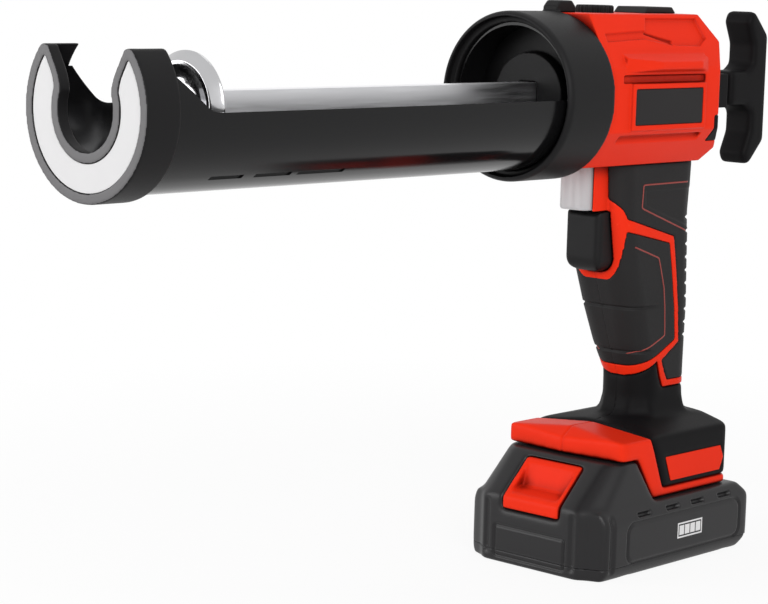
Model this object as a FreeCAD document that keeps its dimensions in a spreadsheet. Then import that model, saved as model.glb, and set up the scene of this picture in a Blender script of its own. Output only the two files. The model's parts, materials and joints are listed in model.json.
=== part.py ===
import FreeCAD, Part
import math
import os
import re
import Sketcher

# Cordless caulking tool in millimetres.
# X runs back along the barrel, Y to the tool's right and Z up.
# The origin is the middle of the battery's underside, which is what the tool stands on.
SIZES = {
    # Clearances
    "fit_gap": 0.1,
    "slide_gap": 0.3,
    "past": 1.0,
    "far": 400.0,
    # Barrel: nose cap, face plate, trough
    "cap_front": -313.0,
    "cap_depth": 16.4,
    "cap_radius": 34.3,
    "cap_wall": 5.0,
    "horn_height": 23.0,
    "horn_round": 1.8,
    "notch_radius": 15.4,
    "throat_half": 14.0,
    "throat_rise": 10.0,
    "throat_round": 20.0,
    "mouth_half": 21.5,
    "face_border": 4.2,
    "face_sunk": 0.5,
    "face_depth": 1.2,
    "trough_radius": 32.0,
    "trough_wall": 1.2,
    "guide_depth": 9.0,
    "trough_ring": 16.0,
    "shoulder_rise": 14.5,
    "shoulder_run": 17.1,
    "shoulder_round": 12.0,
    "slot_width": 2.4,
    "slot_angle": 54.0,
    "slot_gap": 43.2,
    "slot_first_length": 17.0,
    "slot_second_step": 23.1,
    "slot_second_length": 19.3,
    "slot_third_step": 22.8,
    "slot_third_length": 25.4,
    # Rod, piston and pull handle
    "rod_width": 9.0,
    "rod_height": 12.0,
    "piston_gap": 45.0,
    "piston_radius": 21.3,
    "piston_thickness": 2.0,
    "piston_rim": 1.6,
    "piston_rim_depth": 4.0,
    "piston_hub_radius": 9.0,
    "piston_hub_length": 9.0,
    "piston_screw_head": 5.0,
    "piston_screw_height": 3.0,
    "piston_screw_radius": 2.5,
    "piston_screw_length": 14.0,
    "handle_space": 3.0,
    "handle_hub_length": 13.0,
    "handle_hollow": 5.0,
    "handle_back": 12.0,
    "handle_half_height": 36.8,
    "handle_half_width": 8.0,
    "handle_hub_half": 8.5,
    "handle_root": 12.0,
    "handle_bend": 21.0,
    "handle_end_land": 5.0,
    "handle_chamfer": 11.0,
    "handle_round": 2.4,
    "handle_rise": 0.8,
    "handle_pin_radius": 2.0,
    "handle_pin_inset": 6.0,
    "handle_pin_half": 6.5,
    # Gear train
    "rack_module": 1.25,
    "pinion_teeth": 11,
    "pinion_half": 4.5,
    "rack_margin": 39.0,
    "rack_teeth_behind": 3,
    "tooth_tip": 0.8,
    "tooth_root": 1.1,
    "tooth_tip_fill": 0.24,
    "tooth_root_fill": 0.52,
    "mesh_gap": 0.12,
    "drive_inset": 23.0,
    "drive_shaft_radius": 3.0,
    "gear_module": 0.8,
    "drive_gear_teeth": 34,
    "idler_teeth": 20,
    "idler_shaft_radius": 2.0,
    "idler_lean": 5.0,
    "motor_pinion_teeth": 12,
    "motor_lean": 4.0,
    "gear_width": 4.0,
    "gear_space": 0.6,
    "motor_shaft_radius": 1.5,
    "motor_shaft_inside": 8.0,
    "motor_radius": 11.0,
    "motor_length": 25.0,
    "motor_boss_radius": 3.5,
    "motor_boss_length": 1.5,
    "frame_plate": 2.0,
    "frame_inner": 7.5,
    "frame_space": 14.0,
    "frame_length": 51.0,
    "frame_inset": 4.5,
    "left_frame_rise": 9.0,
    "outer_frame_inset": 9.0,
    "frame_top_inset": 10.5,
    "post_radius": 2.5,
    "post_inset": 4.0,
    "boss_radius": 4.0,
    # Collar and front guide
    "collar_length": 31.0,
    "collar_rear": -49.0,
    "collar_radius": 37.0,
    "collar_round": 3.0,
    "collar_lip": 2.4,
    "collar_lip_depth": 4.0,
    "lug_lead": 1.5,
    "lug_reach": 11.5,
    "lug_rise": 5.3,
    "lug_half": 4.0,
    "lug_chamfer": 2.6,
    "lug_sink": 2.5,
    "guide_boss_radius": 19.0,
    "guide_boss_length": 6.0,
    # Housing body
    "wall": 2.5,
    "rear_taper": 16.5,
    "body_rear": 50.0,
    "body_half": 33.0,
    "rear_half": 18.0,
    "body_rise": 36.5,
    "top_half": 21.0,
    "side_rise": 13.0,
    "side_drop": 15.0,
    "body_drop": 31.0,
    "bottom_half": 20.0,
    "rear_high_run": 19.0,
    "rear_high_drop": 25.0,
    "rear_low_run": 12.0,
    "rear_low_rise": 17.0,
    "label_space": 16.3,
    "label_rear_space": 28.0,
    "label_drop": 14.4,
    "label_rise": 6.4,
    "label_proud": 1.4,
    "label_border": 2.4,
    "label_thickness": 1.0,
    "label_sunk": 0.3,
    "ridge_space": 13.0,
    "ridge_rear_space": 26.0,
    "ridge_rise": 9.8,
    "ridge_height": 9.0,
    "ridge_proud": 3.0,
    "ridge_taper": 22.0,
    "ridge_end": 8.0,
    "groove_space": 11.0,
    "groove_rear_space": 27.5,
    "groove_depth": 1.6,
    "groove_rise": 8.3,
    "groove_half": 1.7,
    "groove_drop": 18.2,
    "lower_groove_half": 28.8,
    "bumper_length": 19.0,
    "bumper_rise": 10.0,
    "bumper_height": 12.0,
    "bumper_depth": 1.3,
    "pad_length": 24.5,
    "pad_margin": 0.5,
    "pad_half": 9.0,
    "pad_rise": 2.9,
    "pad_slope": 3.0,
    "dial_space": 30.0,
    "dial_radius": 8.6,
    "dial_proud": 3.4,
    "dial_sink": 1.6,
    "dial_round": 1.0,
    "dial_shaft_radius": 2.2,
    "dial_shaft_length": 4.5,
    "dial_boss_radius": 11.0,
    "dial_boss_depth": 3.6,
    "dial_stem_radius": 4.2,
    "dial_mark_half": 0.6,
    "dial_mark_depth": 0.6,
    "rear_guide_reach": 26.0,
    "rear_guide_half": 8.0,
    "rear_guide_half_height": 8.0,
    "rear_guide_flange": 1.9,
    "rod_clear": 1.0,
    "column_radius": 4.4,
    "screw_radius": 1.5,
    "screw_head": 2.9,
    "screw_head_length": 2.4,
    "screw_seat": 15.0,
    "screw_tip": -12.0,
    "screw_front_inset": 7.0,
    "screw_rear_inset": 13.0,
    "screw_top_inset": 15.5,
    "screw_front_rise": 12.0,
    "screw_rear_drop": 11.2,
    # Grip
    "rubber": 2.2,
    "grip_corner": 12.0,
    "neck_front": 9.0,
    "neck_rear": 49.0,
    "neck_half": 14.2,
    "low_rise": 27.0,
    "low_front": 8.5,
    "low_rear": 48.5,
    "low_half": 14.2,
    "heel_rise": 15.0,
    "heel_front": 1.5,
    "heel_rear": 46.5,
    "heel_half": 15.8,
    "palm_rise": 17.0,
    "palm_front": -5.0,
    "palm_rear": 45.3,
    "palm_half": 17.0,
    "finger_rise": 19.0,
    "finger_front": -12.0,
    "finger_rear": 44.0,
    "finger_half": 17.3,
    "upper_rise": 25.0,
    "upper_front": -16.5,
    "upper_rear": 43.5,
    "upper_half": 17.0,
    "crown_rise": 30.0,
    "crown_sink": 6.0,
    "crown_front": -18.5,
    "crown_rear": 45.0,
    "crown_half": 17.0,
    "band_half": 1.6,
    "band_slant": 2.9,
    "band_toe_half": 3.0,
    "band_front_x": -8.6,
    "band_front_drop": 28.2,
    "band_rear_x": 24.0,
    "band_rear_drop": 36.4,
    "band_low_x": 33.0,
    "band_low_rise": 43.0,
    "band_heel_x": 21.5,
    "band_heel_rise": 35.2,
    "band_toe_x": 7.5,
    "band_toe_rise": 28.8,
    "band_tail_x": 27.3,
    "band_tail_rise": 22.2,
    "grip_top_gap": 0.4,
    "grip_top_front": -17.0,
    "grip_front_drop": 14.8,
    "guard_top_x": -11.0,
    "guard_top_drop": 21.0,
    "guard_rear_x": -8.9,
    "guard_rear_drop": 36.6,
    "guard_bend_x": -9.9,
    "guard_bend_drop": 48.9,
    "guard_low_x": -10.2,
    "guard_low_drop": 55.0,
    "stem_front": -26.5,
    "stem_half": 9.6,
    "stem_space": 0.6,
    "cavity_half": 10.5,
    "cavity_low_half": 8.0,
    "cavity_front": -5.0,
    "cavity_low_front": 16.0,
    "cavity_rear": 36.0,
    "cavity_bend_space": 2.8,
    "cavity_bend_rise": 35.0,
    # Trigger, release button, switch and board
    "trigger_front": -22.3,
    "trigger_rear": -8.0,
    "trigger_half": 9.9,
    "trigger_height": 27.7,
    "trigger_drop": 22.0,
    "trigger_travel": 6.0,
    "trigger_round": 7.0,
    "trigger_edge": 3.0,
    "trigger_corner": 6.5,
    "plunger_radius": 3.0,
    "plunger_end": 6.0,
    "plunger_rise": 15.7,
    "switch_front": 3.0,
    "switch_rear": 30.0,
    "switch_drop": 12.0,
    "switch_rise": 11.0,
    "spring_radius": 4.6,
    "spring_wire": 1.0,
    "button_front": -31.0,
    "button_rear": -17.0,
    "button_half": 8.2,
    "button_space": 1.0,
    "button_height": 20.6,
    "button_travel": 3.0,
    "button_round": 4.0,
    "button_edge": 1.0,
    "button_spring_end": -9.0,
    "button_spring_radius": 3.4,
    "board_front": 20.0,
    "board_rise": 37.0,
    "board_height": 34.0,
    "board_half": 0.8,
    # Foot cover and battery shoe
    "shoe_strip": 4.0,
    "foot_front": -31.0,
    "foot_brow": -28.5,
    "foot_brow_half": 33.0,
    "foot_cheek": -25.0,
    "foot_half": 34.0,
    "foot_heel": 50.5,
    "foot_rear": 54.5,
    "foot_rear_half": 30.0,
    "foot_side_rise": 8.7,
    "leg_bend": -4.4,
    "leg_bend_rise": 2.2,
    "visor_gap": 0.5,
    "visor_lip": 7.2,
    "visor_crest": -24.0,
    "visor_crown": 3.3,
    "leg_front": -16.7,
    "leg_front_low": -5.0,
    "leg_back_high": -7.5,
    "leg_back_low": 2.8,
    "dome_brow_half": 30.0,
    "dome_brow": -6.0,
    "dome_half": 33.8,
    "dome_lift": 0.5,
    "dome_mid_nose_half": 6.0,
    "dome_mid_cheek": 4.0,
    "flare_reach": 5.3,
    "flare_height": 8.0,
    "dome_corner": 7.0,
    "terminal_space": 6.4,
    "inlay_front": 3.2,
    "inlay_slant": 4.7,
    "inlay_rear": 46.5,
    "inlay_rise": 2.7,
    "inlay_height": 11.7,
    "inlay_point": 2.7,
    "inlay_depth": 1.0,
    "roof_thickness": 2.2,
    "shoe_box_half": 31.0,
    "shoe_box_rear": 50.0,
    "terminal_front": 12.0,
    "terminal_rear": 36.0,
    "terminal_half": 14.0,
    "terminal_height": 8.0,
    # Battery
    "battery_front": -52.5,
    "battery_rear": 69.0,
    "battery_half": 39.4,
    "battery_floor": 5.9,
    "battery_top": 31.5,
    "battery_nose_half": 27.0,
    "battery_column": -49.5,
    "battery_column_half": 31.0,
    "battery_flank": -46.0,
    "battery_rear_half": 33.0,
    "battery_rear_corner": 63.0,
    "battery_chamfer": 10.5,
    "battery_floor_half": 37.5,
    "battery_floor_rise": 4.5,
    "battery_brow_drop": 5.5,
    "battery_brow_half": 36.3,
    "battery_corner_round": 3.0,
    "hump_nose_half": 25.0,
    "hump_cheek": -49.0,
    "hump_cheek_half": 31.5,
    "hump_flank": -43.0,
    "hump_half": 35.8,
    "hump_rise": 19.3,
    "crest_front": -32.5,
    "crest_nose_half": 26.0,
    "crest_cheek": -29.5,
    "crest_cheek_half": 31.0,
    "crest_flank": -25.0,
    "crest_half": 33.6,
    "hump_back": -17.4,
    "hump_back_low": -5.7,
    "rail_neck_half": 20.0,
    "rail_half": 24.0,
    "rail_height": 8.6,
    "rail_rear": 47.0,
    "latch_half": 16.2,
    "latch_drop": 5.5,
    "latch_rise": 16.1,
    "latch_back": -31.0,
    "latch_travel": 4.0,
    "latch_border": 2.6,
    "latch_lip_rise": 2.0,
    "scoop_floor_x": -41.0,
    "scoop_floor_rise": 3.5,
    "scoop_top_x": -37.8,
    "scoop_top_rise": 14.1,
    "latch_spring_end": -22.0,
    "latch_spring_rise": 5.5,
    "latch_spring_radius": 4.0,
    "cell_radius": 9.1,
    "cell_length": 65.0,
    "cell_pitch": 18.6,
    "cell_first": -26.0,
    "cell_count": 5,
    "pack_board_front": -5.0,
    "pack_board_rear": 45.0,
    "pack_board_half": 18.0,
    "pack_board_thickness": 1.6,
    "pack_board_space": 3.4,
    "pack_screw_front_x": -28.0,
    "pack_screw_rear_x": 48.0,
    "pack_screw_y": 34.9,
    "pack_screw_head": 2.2,
    "pack_screw_head_height": 2.0,
    "pack_screw_sunk": 0.8,
    "pack_screw_radius": 1.2,
    "pack_screw_top_gap": 7.5,
}

# Places worked out from the sizes
PLACES = {
    # Heights, up from the battery
    "shoe_low": "battery_top + slide_gap",
    "strip_top": "shoe_low + shoe_strip",
    "rail_top": "battery_top + rail_height",
    "shoe_roof": "rail_top + slide_gap + roof_thickness",
    "foot_roof": "shoe_roof + terminal_height + terminal_space",
    "hump_top": "battery_top + hump_rise",
    "battery_brow": "battery_top - battery_brow_drop",
    "latch_low": "battery_top - latch_drop",
    "latch_high": "battery_top + latch_rise",
    "latch_lip": "battery_top + latch_lip_rise",
    "scoop_floor_z": "battery_top + scoop_floor_rise",
    "scoop_top_z": "battery_top + scoop_top_rise",
    "latch_spring_z": "battery_top + latch_spring_rise",
    "pack_screw_tip": "battery_top - pack_screw_top_gap",
    "visor_low": "hump_top + visor_gap",
    "leg_bend_height": "visor_low + leg_bend_rise",
    "visor_front_top": "visor_low + visor_lip",
    "foot_side_top": "visor_low + foot_side_rise",
    "visor_top": "foot_side_top + visor_crown",
    "dome_mid_height": "visor_top + dome_lift",
    "inlay_low": "strip_top + inlay_rise",
    "inlay_high": "inlay_low + inlay_height",
    "neck_height": "foot_roof",
    "low_height": "neck_height + low_rise",
    "heel_height": "low_height + heel_rise",
    "palm_height": "heel_height + palm_rise",
    "finger_height": "palm_height + finger_rise",
    "upper_height": "finger_height + upper_rise",
    "crown_height": "upper_height + crown_rise",
    # Heights about the barrel's axis
    "body_bottom": "crown_height - crown_sink",
    "axis_height": "body_bottom + body_drop",
    "body_top": "axis_height + body_rise",
    "side_top": "axis_height + side_rise",
    "side_bottom": "axis_height - side_drop",
    "rear_high_z": "body_top - rear_high_drop",
    "rear_low_z": "body_bottom + rear_low_rise",
    "label_low": "axis_height - label_drop",
    "label_high": "axis_height + label_rise",
    "ridge_low": "axis_height + ridge_rise",
    "ridge_high": "ridge_low + ridge_height",
    "upper_groove": "axis_height + groove_rise",
    "lower_groove": "axis_height - groove_drop",
    "bumper_low": "body_bottom + bumper_rise",
    "bumper_high": "bumper_low + bumper_height",
    "screw_high": "body_top - screw_top_inset",
    "screw_low_front": "body_bottom + screw_front_rise",
    "screw_low_rear": "axis_height - screw_rear_drop",
    "frame_low": "body_bottom + frame_inset",
    "left_frame_high": "axis_height + left_frame_rise",
    "outer_frame_low": "body_bottom + outer_frame_inset",
    "frame_high": "body_top - frame_top_inset",
    "lug_top": "body_top + lug_rise",
    # Heights on the grip, down from the body or up from the foot
    "grip_top": "body_bottom - grip_top_gap",
    "grip_top_front_z": "body_bottom - grip_front_drop",
    "guard_top_z": "body_bottom - guard_top_drop",
    "guard_rear_z": "body_bottom - guard_rear_drop",
    "guard_bend_z": "body_bottom - guard_bend_drop",
    "guard_low_z": "body_bottom - guard_low_drop",
    "band_front_z": "body_bottom - band_front_drop",
    "band_rear_z": "body_bottom - band_rear_drop",
    "band_low_z": "neck_height + band_low_rise",
    "band_heel_z": "neck_height + band_heel_rise",
    "band_toe_z": "neck_height + band_toe_rise",
    "band_tail_z": "neck_height + band_tail_rise",
    "trigger_high": "body_bottom - trigger_drop",
    "trigger_low": "trigger_high - trigger_height",
    "stem_low": "trigger_high + stem_space",
    "cavity_bend_high": "trigger_low - cavity_bend_space",
    "cavity_bend_low": "neck_height + cavity_bend_rise",
    "plunger_z": "trigger_low + plunger_rise",
    "switch_low": "plunger_z - switch_drop",
    "switch_high": "plunger_z + switch_rise",
    "button_low": "trigger_high + button_space",
    "button_high": "button_low + button_height",
    "board_low": "neck_height + board_rise",
    "board_high": "board_low + board_height",
    # Places along the barrel, ahead of and behind the collar
    "collar_front": "collar_rear - collar_length",
    "trough_rear": "collar_rear - guide_depth",
    "lug_front": "collar_rear - lug_lead",
    "lug_rear": "collar_rear + lug_reach",
    "slot_first": "cap_front + slot_gap",
    "slot_second": "slot_first + slot_second_step",
    "slot_third": "slot_second + slot_third_step",
    "piston_front": "cap_front + piston_gap",
    "frame_front": "collar_rear + frame_space",
    "frame_rear": "frame_front + frame_length",
    "drive_x": "frame_front + drive_inset",
    "screw_front_x": "collar_rear + screw_front_inset",
    "label_front": "collar_rear + label_space",
    "groove_front": "collar_rear + groove_space",
    "ridge_front": "collar_rear + ridge_space",
    "dial_x": "collar_rear + dial_space",
    # Places ahead of and behind the body's rear
    "body_shoulder": "body_rear - rear_taper",
    "rear_high_x": "body_rear - rear_high_run",
    "rear_low_x": "body_rear - rear_low_run",
    "label_rear": "body_rear - label_rear_space",
    "ridge_back": "body_rear - ridge_rear_space",
    "groove_back": "body_rear - groove_rear_space",
    "bumper_front": "body_rear - bumper_length",
    "pad_back": "rear_high_x - pad_margin",
    "pad_front": "pad_back - pad_length",
    "screw_rear_x": "body_rear - screw_rear_inset",
    "rear_guide_end": "body_rear + rear_guide_reach",
    "handle_hub_front": "rear_guide_end + handle_space",
    "handle_tip": "handle_hub_front + handle_hub_length",
    "handle_waist": "handle_tip + handle_hollow",
    "handle_rear": "handle_waist + handle_back",
    "rod_end": "handle_tip",
    # Battery seam and cells
    "battery_seam": "battery_floor",
    "cell_height": "battery_seam + cell_radius",
}

doc = FreeCAD.newDocument("caulking_tool")
sheet = doc.addObject("Spreadsheet::Sheet", "size")
for row, (alias, number) in enumerate(SIZES.items(), start=1):
    sheet.set("A%d" % row, alias)
    sheet.set("B%d" % row, str(number))
    sheet.setAlias("B%d" % row, alias)
doc.recompute()

PARTS = []
PLANES = {"XY": "XY_Plane", "XZ": "XZ_Plane", "YZ": "YZ_Plane"}
TURN_TO_X = FreeCAD.Rotation(FreeCAD.Vector(0, 1, 0), 90)
TURN_TO_Y = FreeCAD.Rotation(FreeCAD.Vector(1, 0, 0), -90)
NO_TURN = FreeCAD.Rotation()
FLARE_ANGLES = (30, 60, 90)
GRIP_SECTIONS = ("neck", "low", "heel", "palm", "finger", "upper", "crown")

# Gear centres and the planes of the gears
RACK_PITCH_LINE = "(axis_height - rod_height / 2 + tooth_tip * rack_module)"
RACK_STEP = "(%.9f * rack_module)" % math.pi
RACK_TEETH_AHEAD = "floor((drive_x - piston_front - rack_margin) / %s)" % RACK_STEP
DRIVE_Z = "(%s - pinion_teeth * rack_module / 2 - mesh_gap)" % RACK_PITCH_LINE
FIRST_REACH = "((drive_gear_teeth + idler_teeth) * gear_module / 2 + mesh_gap)"
SECOND_REACH = "((idler_teeth + motor_pinion_teeth) * gear_module / 2 + mesh_gap)"
IDLER_X = "(drive_x + idler_lean)"
IDLER_Z = "(%s + sqrt(%s ^ 2 - idler_lean ^ 2))" % (DRIVE_Z, FIRST_REACH)
MOTOR_X = "(%s + motor_lean)" % IDLER_X
MOTOR_Z = "(%s + sqrt(%s ^ 2 - motor_lean ^ 2))" % (IDLER_Z, SECOND_REACH)
FRAME_OUT = "(frame_inner + frame_plate)"
GEAR_START = "(%s + gear_space)" % FRAME_OUT
GEAR_END = "(%s + gear_width)" % GEAR_START
OUTER_FRAME = "(%s + gear_space)" % GEAR_END
CELL_LAST = "(cell_first + (cell_count - 1) * cell_pitch)"
CELL_HIGH = "(cell_height + cell_radius)"


def bind(text):
    """Points every size named in an expression, or in a place it names, at its cell of the sheet."""
    def cell(word):
        name = word.group()
        if name in PLACES:
            return "(%s)" % bind(PLACES[name])
        return "size." + name if name in SIZES else name
    return re.sub(r"[a-z][a-z_0-9]*", cell, text)


def value(alias):
    """The number in a cell, for shapes that are worked out point by point."""
    return float(sheet.get(alias))


def keep(piece):
    """Marks an object as one of the tool's own pieces."""
    PARTS.append(piece)
    return piece


def place(piece, turn, x, y, z):
    piece.Placement = FreeCAD.Placement(FreeCAD.Vector(), turn)
    for axis, text in (("x", x), ("y", y), ("z", z)):
        piece.setExpression("Placement.Base." + axis, bind(text))


def box(name, x0, x1, y0, y1, z0, z1, turn=NO_TURN):
    block = doc.addObject("Part::Box", name)
    block.setExpression("Length", bind("(%s) - (%s)" % (x1, x0)))
    block.setExpression("Width", bind("(%s) - (%s)" % (y1, y0)))
    block.setExpression("Height", bind("(%s) - (%s)" % (z1, z0)))
    place(block, turn, x0, y0, z0)
    return block


def cylinder(name, turn, radius, length, x, y, z):
    rod = doc.addObject("Part::Cylinder", name)
    rod.setExpression("Radius", bind(radius))
    rod.setExpression("Height", bind(length))
    place(rod, turn, x, y, z)
    return rod


def rod_x(name, radius, x0, x1, y="0", z="axis_height"):
    return cylinder(name, TURN_TO_X, radius, "(%s) - (%s)" % (x1, x0), x0, y, z)


def rod_y(name, radius, y0, y1, x, z):
    return cylinder(name, TURN_TO_Y, radius, "(%s) - (%s)" % (y1, y0), x, y0, z)


def rod_z(name, radius, z0, z1, x, y):
    return cylinder(name, NO_TURN, radius, "(%s) - (%s)" % (z1, z0), x, y, z0)


def new_sketch(body, name, plane, offset):
    sketch = body.newObject("Sketcher::SketchObject", name)
    origin = [item for item in body.Origin.OriginFeatures if item.Role == PLANES[plane]][0]
    sketch.AttachmentSupport = (origin, [""])
    sketch.MapMode = "FlatFace"
    sketch.setExpression("AttachmentOffset.Base.z", bind(offset))
    return sketch


def hold(sketch, kind, geometry, point, text, start=1.0):
    """Holds one point of a sketch at a bound distance from the sketch's origin."""
    number = sketch.addConstraint(Sketcher.Constraint(kind, -1, 1, geometry, point, start))
    sketch.setExpression("Constraints[%d]" % number, bind(text))


def draw(body, name, plane, outline, offset):
    """A closed outline of straight sides, each corner held at two bound distances."""
    sketch = new_sketch(body, name, plane, offset)
    count = len(outline)
    start = [FreeCAD.Vector(math.cos(math.tau * i / count), math.sin(math.tau * i / count), 0)
             for i in range(count)]
    for i in range(count):
        sketch.addGeometry(Part.LineSegment(start[i], start[(i + 1) % count]), False)
    for i in range(count):
        sketch.addConstraint(Sketcher.Constraint("Coincident", i, 2, (i + 1) % count, 1))
    for i, (first, second) in enumerate(outline):
        hold(sketch, "DistanceX", i, 1, first)
        hold(sketch, "DistanceY", i, 1, second)
    return sketch


def corner_edges(shape, sketch, corners):
    """Names of the straight edges that rise from the given corners of an outline."""
    normal = sketch.Placement.Rotation.multVec(FreeCAD.Vector(0, 0, 1))
    names = []
    for corner in corners:
        foot = sketch.Placement.multVec(sketch.Geometry[corner].StartPoint)
        for number, edge in enumerate(shape.Edges, start=1):
            along = edge.Vertexes[-1].Point - edge.Vertexes[0].Point
            aside = edge.Vertexes[0].Point - foot
            rises = along.Length > 0.01 and along.cross(normal).Length < 0.001
            if rises and aside.cross(normal).Length < 0.01:
                names.append("Edge%d" % number)
    return names


def prism(name, plane, outline, start, end, rounds=()):
    """An outline pushed from start to end along its plane's normal, with rounded corners."""
    body = doc.addObject("PartDesign::Body", name)
    offset = "-(%s)" % end if plane == "XZ" else start
    sketch = draw(body, name + "_outline", plane, outline, offset)
    feature = body.newObject("PartDesign::Pad", name + "_pad")
    feature.Profile = sketch
    feature.setExpression("Length", bind("(%s) - (%s)" % (end, start)))
    for number, (corners, radius) in enumerate(rounds):
        doc.recompute()
        fillet = body.newObject("PartDesign::Fillet", "%s_round_%d" % (name, number))
        fillet.Base = (feature, corner_edges(feature.Shape, sketch, corners))
        fillet.setExpression("Radius", bind(radius))
        feature = fillet
    return body


def join(name, pieces):
    whole = doc.addObject("Part::MultiFuse", name)
    whole.Shapes = pieces
    whole.Refine = True
    return whole


def cut(name, base, *tools):
    result = doc.addObject("Part::Cut", name)
    result.Base = base
    result.Tool = tools[0] if len(tools) == 1 else join(name + "_tools", list(tools))
    return result


def common(name, one, other):
    result = doc.addObject("Part::Common", name)
    result.Base = one
    result.Tool = other
    return result


def mirror(name, source):
    """The same piece on the other side of the tool's middle plane."""
    twin = doc.addObject("Part::Mirroring", name)
    twin.Source = source
    twin.Base = FreeCAD.Vector(0, 0, 0)
    twin.Normal = FreeCAD.Vector(0, 1, 0)
    return twin


def pair(name, piece):
    """A piece and its mirror image as one tool for joining or cutting."""
    return [piece, mirror(name, piece)]


def round_edges(name, base, radius, chosen):
    """Rounds the edges of a finished solid that a test picks."""
    doc.recompute()
    result = doc.addObject("Part::Fillet", name)
    result.Base = base
    size = value(radius)
    result.Edges = [(number, size, size) for number, edge in enumerate(base.Shape.Edges, start=1)
                    if chosen(edge)]
    return result


def mirrored_second(points):
    """An outline given on one side, closed by its image with the second coordinate turned over."""
    return points + [(first, "-(%s)" % second) for first, second in reversed(points)]


def mirrored_first(points):
    """An outline given on one side, closed by its image with the first coordinate turned over."""
    return points + [("-(%s)" % first, second) for first, second in reversed(points)]


def sleeve_x(name, radius, x0, x1, y, z):
    """A hidden spring along X, as the tube its coils fill."""
    outside = rod_x(name + "_outside", radius, x0, x1, y, z)
    inside = rod_x(name + "_inside", "%s - spring_wire" % radius, "%s - past" % x0, "%s + past" % x1, y, z)
    return cut(name, outside, inside)


# Barrel

def horseshoe(name, front, back, shrink):
    """The nose's open ring, drawn in from its edges by shrink."""
    disc = rod_x(name + "_disc", "cap_radius - (%s)" % shrink, front, back)
    bowl = rod_x(name + "_bowl", "notch_radius + %s" % shrink, "%s - past" % front, "%s + past" % back)
    mouth = prism(name + "_mouth", "YZ", mirrored_first([
        ("throat_half + %s" % shrink, "axis_height"),
        ("throat_half + %s" % shrink, "axis_height + throat_rise"),
        ("mouth_half + %s" % shrink, "axis_height + horn_height"),
        ("mouth_half + %s" % shrink, "axis_height + 2 * cap_radius"),
    ]), "%s - past" % front, "%s + past" % back, [([1, 6], "throat_round - (%s)" % shrink)])
    top = box(name + "_top", "%s - past" % front, "%s + past" % back, "-2 * cap_radius", "2 * cap_radius",
              "axis_height + horn_height - (%s)" % shrink, "axis_height + 3 * cap_radius")
    return cut(name, disc, bowl, mouth, top)


def nose():
    blank = horseshoe("nose_blank", "cap_front", "cap_front + cap_depth", "0")

    def horn_edge(edge):
        ends = [vertex.Point for vertex in edge.Vertexes]
        along_x = len(ends) == 2 and abs(abs(ends[0].x - ends[1].x) - value("cap_depth")) < 0.01
        return along_x and ends[0].z > blank.Shape.BoundBox.ZMax - 0.01
    rounded = round_edges("nose_rounded", blank, "horn_round", horn_edge)
    socket = rod_x("nose_socket", "trough_radius + fit_gap", "cap_front + cap_wall",
                   "cap_front + cap_depth + past")
    floor = "cap_front + face_sunk + face_depth"
    recess = horseshoe("nose_recess", "cap_front - past", floor, "face_border - fit_gap")
    keep(cut("nose_cap", rounded, socket, recess))
    keep(horseshoe("nose_face_plate", "cap_front + face_sunk", floor, "face_border"))


def trough_slot(name, start, length):
    """A long slot low on the trough's side, and the same on the other side."""
    tilt = FreeCAD.Rotation(FreeCAD.Vector(-1, 0, 0), value("slot_angle"))
    slot = box(name, start, "%s + %s" % (start, length), "0", "cap_radius",
               "axis_height", "axis_height + slot_width", tilt)
    slot.setExpression("Placement.Rotation.Angle", bind("slot_angle * 1 deg"))
    return pair(name + "_mirrored", slot)


def trough():
    front = "cap_front + cap_wall"
    edge = "cap_front + cap_depth"
    tube = rod_x("trough_outside", "trough_radius", front, "trough_rear")
    bore = rod_x("trough_bore", "trough_radius - trough_wall", front + " - past", "trough_rear + past")
    opening = prism("trough_opening", "XZ", [
        ("cap_front", "axis_height + shoulder_rise"),
        (edge, "axis_height + shoulder_rise"),
        (edge + " + shoulder_run", "axis_height"),
        ("trough_rear - trough_ring", "axis_height"),
        ("trough_rear - trough_ring", "axis_height + 2 * trough_radius"),
        ("cap_front", "axis_height + 2 * trough_radius"),
    ], "-2 * trough_radius", "2 * trough_radius", [([2], "shoulder_round")])
    slots = (trough_slot("slot_a", "slot_first", "slot_first_length")
             + trough_slot("slot_b", "slot_second", "slot_second_length")
             + trough_slot("slot_c", "slot_third", "slot_third_length"))
    keep(cut("cartridge_trough", tube, bore, opening, *slots))


def collar():
    ring = rod_x("collar_ring", "collar_radius", "collar_front", "collar_rear")

    def front_edge(edge):
        front = ring.Shape.BoundBox.XMin
        return all(abs(vertex.Point.x - front) < 0.01 for vertex in edge.Vertexes)
    rounded = round_edges("collar_rounded", ring, "collar_round", front_edge)
    lug = prism("collar_lug", "XZ", [
        ("lug_front", "axis_height + trough_radius + lug_sink"),
        ("collar_rear", "axis_height + trough_radius + lug_sink"),
        ("collar_rear", "body_top"),
        ("lug_rear", "body_top"),
        ("lug_rear", "lug_top - lug_chamfer"),
        ("lug_rear - lug_chamfer", "lug_top"),
        ("lug_front + lug_chamfer", "lug_top"),
        ("lug_front", "lug_top - lug_chamfer"),
    ], "-lug_half", "lug_half")
    bore = rod_x("collar_bore", "trough_radius + fit_gap", "collar_front - past", "collar_rear + past")
    lip = rod_x("collar_lip_room", "collar_radius - collar_lip", "collar_front - past",
                "collar_front + collar_lip_depth")
    keep(cut("collar", join("collar_solid", [rounded, lug]), bore, lip))


def rod_passage(name, x0, x1, gap):
    """The hole the square rod runs through."""
    return box(name, x0, x1, "-rod_width / 2 - %s" % gap, "rod_width / 2 + %s" % gap,
               "axis_height - rod_height / 2 - %s" % gap, "axis_height + rod_height / 2 + %s" % gap)


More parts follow.
